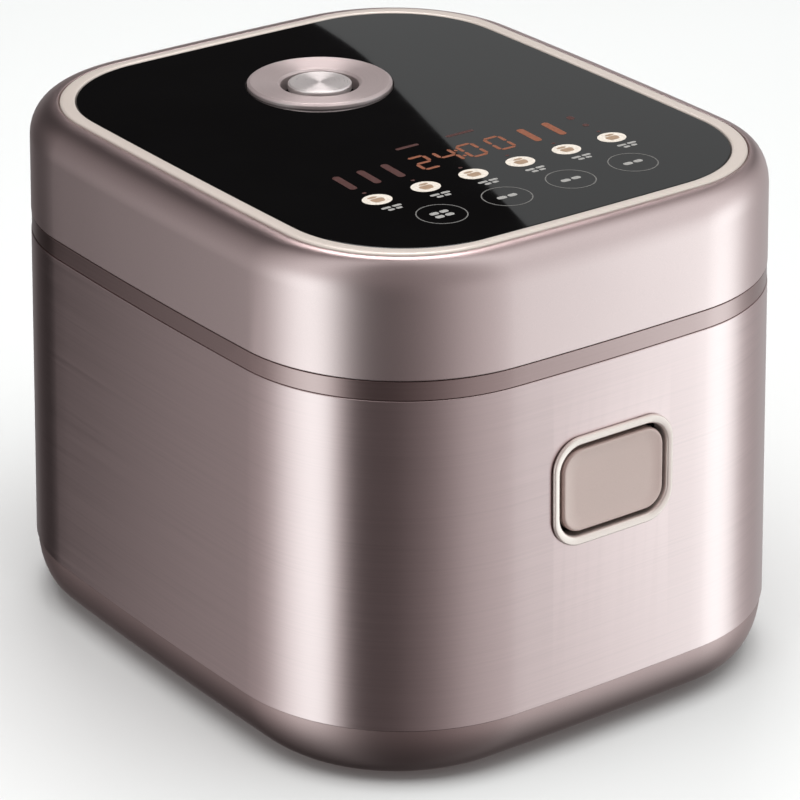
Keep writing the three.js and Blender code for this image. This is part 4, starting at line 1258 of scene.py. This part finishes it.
def build_display():
    figures = []
    for character, x in (("2", -20.4), ("4", -7.9), ("0", 4.1), ("0", 18.4)):
        figures += digit(character, x, 9.2, 15.5)
    for y in (DISPLAY_Y - 3.4, DISPLAY_Y + 3.4):
        figures.append(decal(oval(-1.9, y, 1.7, 1.7, 20), LEAN))
    dress(group("clock_figures", figures), "lid", lit_orange)

    lit_bars, dim_bars = (
        [decal(pill(x - 1.8, DISPLAY_Y - 8, x + 1.8, DISPLAY_Y + 8), LEAN) for x in places]
        for places in ((34, 47), (-60, -48, -36))
    )
    dim_bars.append(decal(pill(58.6, DISPLAY_Y + 4, 61.8, DISPLAY_Y + 8), LEAN))
    dim_bars.append(decal(pill(59.4, DISPLAY_Y - 6, 62.2, DISPLAY_Y - 3), LEAN))
    for x0, x1 in ((-21, -9.5), (4.8, 19)):
        dim_bars.append(decal(pill(x0, DISPLAY_Y + 17.6, x1, DISPLAY_Y + 19.6)))
    dress(group("level_bars_lit", lit_bars), "lid", lit_orange)
    dress(group("level_bars_dim", dim_bars), "lid", dim_orange)

    plates, fillings, labels, marks = [], [], [], []
    for index in range(6):
        x = ICON_PITCH * (index - 2.5)
        plates.append(decal(oval(x, ICON_Y, 12.8, 11)))
        rim = [(x - 3.6, ICON_Y + 1.2), (x + 3.6, ICON_Y + 1.2), (x + 2.2, ICON_Y - 2.8), (x - 2.2, ICON_Y - 2.8)]
        bowl = decal(rounded(rim, 1.2, True, 4))
        heap = decal(oval(x + (0.7 if index % 2 else -0.7), ICON_Y + 2.6, 4.6, 1.8, 24))
        under, over = (heap, bowl) if index % 2 else (bowl, heap)
        over.data.transform(Matrix.Translation((0, 0, PRINT_THICK * MM)))
        fillings += [under, over]
        for row, reach in ((0, 4.8), (1, 3.4)):
            labels += dashes(x, ICON_Y - 9.6 - 2.6 * row, reach, 0.85)
        marks.append(decal(pill(x - 0.9, ICON_Y + 8, x + 0.9, ICON_Y + 9.4)))
    dress(group("menu_plates", plates), "lid", print_white)
    symbols = group("menu_fillings", fillings)
    symbols.data.transform(Matrix.Translation((0, 0, PRINT_THICK * MM)))
    dress(symbols, "lid", print_tan)
    dress(group("menu_labels", labels), "lid", print_grey)
    dress(group("menu_lights", marks), "lid", dim_orange)

    rings, words = [], []
    for index in range(4):
        x = KEY_PITCH * (index - 1.5)
        rings.append(turned("ring", section(10, 10.5, PRINT_Z, PRINT_Z + PRINT_THICK), (x, KEY_Y + BODY_Y), 0, 96))
        for rise, reach in ((1.9, 4.4), (-1.9, 4.4)) if index == 0 else ((0, 4.8),):
            words += dashes(x, KEY_Y + rise, reach, 1.3)
    dress(group("key_rings", rings), "lid", ring_grey)
    dress(group("key_labels", words), "lid", print_grey)


# ---------------------------------------------------------------- stage

# How bright the white tent is, by azimuth: below the cooker's middle, and overhead.
LOW_TENT = (
    (-180, 0.08), (-156, 0.0), (-149, 0.08), (-143, 0.5), (-130, 0.46), (-119, 0.72), (-105, 1.5), (-92, 1.95),
    (-82, 1.85), (-75, 0.85), (-67, 0.15), (-58, 0.09), (-40, 0.12), (-20, 0.28), (-8, 0.46), (4, 0.68),
    (18, 0.8), (35, 0.84), (40, 1.4), (46, 2.0), (62, 2.0), (70, 1.5), (78, 0.7), (95, 0.5),
    (120, 0.6), (150, 0.45), (180, 0.08),
)
HIGH_TENT = (
    (-180, 0.012), (-165, 0.05), (-145, 0.25), (-120, 0.6), (-98, 1.1), (-82, 0.9), (-66, 0.2), (-40, 0.2), (-10, 0.35),
    (20, 0.55), (45, 1.2), (66, 1.1), (90, 0.5), (116, 0.03), (180, 0.012),
)
TENT_POWER = 2.6  # a ramp holds at most 1, so the tent is brighter than its ramps by this much
FLOOR_HALF = 9.0  # in metres


def softbox(name, azimuth, elevation, distance, wide, tall, power, colour=(1, 1, 1), roll=0):
    """A soft rectangular light that faces the cooker's middle. Its lengths are in metres."""
    data = bpy.data.lights.new(name, "AREA")
    data.shape = "RECTANGLE"
    data.size, data.size_y = wide, tall
    data.energy = power
    data.color = colour
    lamp = bpy.data.objects.new(name, data)
    turn, rise = radians(azimuth), radians(elevation)
    away = Vector((sin(turn) * cos(rise), -cos(turn) * cos(rise), sin(rise)))
    lamp.location = Vector((0, 0, 0.11)) + away * distance
    facing = away.to_track_quat("Z", "Y").to_matrix() @ Matrix.Rotation(radians(roll), 3, "Z")
    lamp.rotation_euler = facing.to_euler()
    bpy.context.scene.collection.objects.link(lamp)
    return lamp


def build_tent(world):
    """Light that depends on direction: a bright tent low down all round, and a dim grey room above it."""
    world.use_nodes = True
    kit = Nodes(world.node_tree)
    split = kit.node("SeparateXYZ")
    kit.feed(split.inputs[0], kit.node("TexCoord").outputs["Generated"])
    x, y, z = split.outputs
    azimuth = kit.operate("Math", "ARCTAN2", x, kit.operate("Math", "MULTIPLY", y, -1.0))
    share = kit.operate("Math", "MULTIPLY_ADD", azimuth, 1 / (2 * pi), 0.5)
    height = kit.operate("Math", "MULTIPLY_ADD", z, 0.5, 0.5)

    def tent(brightness):
        """A ramp round the cooker. Brighter cloth is a little cooler."""
        stops = []
        for degrees, bright in brightness:
            cool = 0.88 + 0.3 * (bright / 1.6) ** 0.65
            stops.append(((degrees + 180) / 360, tuple(bright / TENT_POWER * part for part in (1, cool, cool))))
        return kit.colours(share, *stops)

    def climb(*stops):
        """A grey ramp from straight down (0) to straight up (1)."""
        return kit.colours(height, *((place, (grey,) * 3) for place, grey in stops))

    cloth = kit.mixed(climb((0.48, 0), (0.62, 1)), tent(LOW_TENT), tent(HIGH_TENT))
    cloth = kit.mixed(1.0, cloth, climb((0, 0.08), (0.13, 0.2), (0.24, 1)), "MULTIPLY")
    background = kit.tree.nodes["Background"]
    kit.feed(background.inputs[0], cloth)
    kit.feed(background.inputs[1], TENT_POWER)


def build_stage():
    scene = bpy.context.scene
    scene.view_settings.view_transform = "Standard"
    scene.world = bpy.data.worlds.new("studio")
    build_tent(scene.world)

    mesh = bpy.data.meshes.new("studio_floor")
    mesh.from_pydata([(x * FLOOR_HALF, y * FLOOR_HALF, 0) for x, y in corner_places(1, 1)], [], [(0, 1, 2, 3)])
    surface = Surface("pale_floor", specular_ior_level=0.2)
    cloud = surface.noise(0.8, 3)
    surface.finish(surface.colours(cloud, (0.3, (0.64, 0.635, 0.63)), (0.7, (0.68, 0.675, 0.67))), 0.7)
    mesh.materials.append(surface.material)
    floor = bpy.data.objects.new("studio_floor", mesh)
    scene.collection.objects.link(floor)
    floor.visible_glossy = False
    floor.visible_shadow = False

    softbox("overhead", -30, 78, 2.4, 2.2, 2.2, 72).visible_glossy = False
    softbox("rear_top", 146, 60, 2.0, 0.8, 0.8, 13)
    softbox("glass_reflector", 120, 30, 3.0, 0.86, 2.9, 2.6, (0.98, 1.0, 1.0), 54)


def build_camera():
    azimuth, elevation = radians(CAMERA["azimuth"]), radians(CAMERA["elevation"])
    back = Vector((sin(azimuth) * cos(elevation), -cos(azimuth) * cos(elevation), sin(elevation)))
    right = Vector((cos(azimuth), sin(azimuth), 0))
    up = back.cross(right)
    data = bpy.data.cameras.new("camera")
    data.sensor_width = 36
    data.lens = CAMERA["lens"]
    data.clip_start, data.clip_end = 0.05, 60
    camera = bpy.data.objects.new("camera", data)
    place = Vector((0, BODY_Y, 0)) + right * CAMERA["across"] + up * CAMERA["raise"] + back * CAMERA["distance"]
    camera.matrix_world = Matrix.Translation(place * MM) @ Matrix((right, up, back)).transposed().to_4x4()
    bpy.context.scene.collection.objects.link(camera)
    bpy.context.scene.camera = camera


build_camera()
build_stage()
for build in (
    build_shell, build_pan, build_collar, build_button, build_latch, build_hinge, build_inlet, build_heating,
    build_electronics, build_fan, build_underside, build_pot, build_lid_shell, build_trim, build_glass, build_liner,
    build_inner_lid, build_vent, build_controls, build_display,
):
    build()
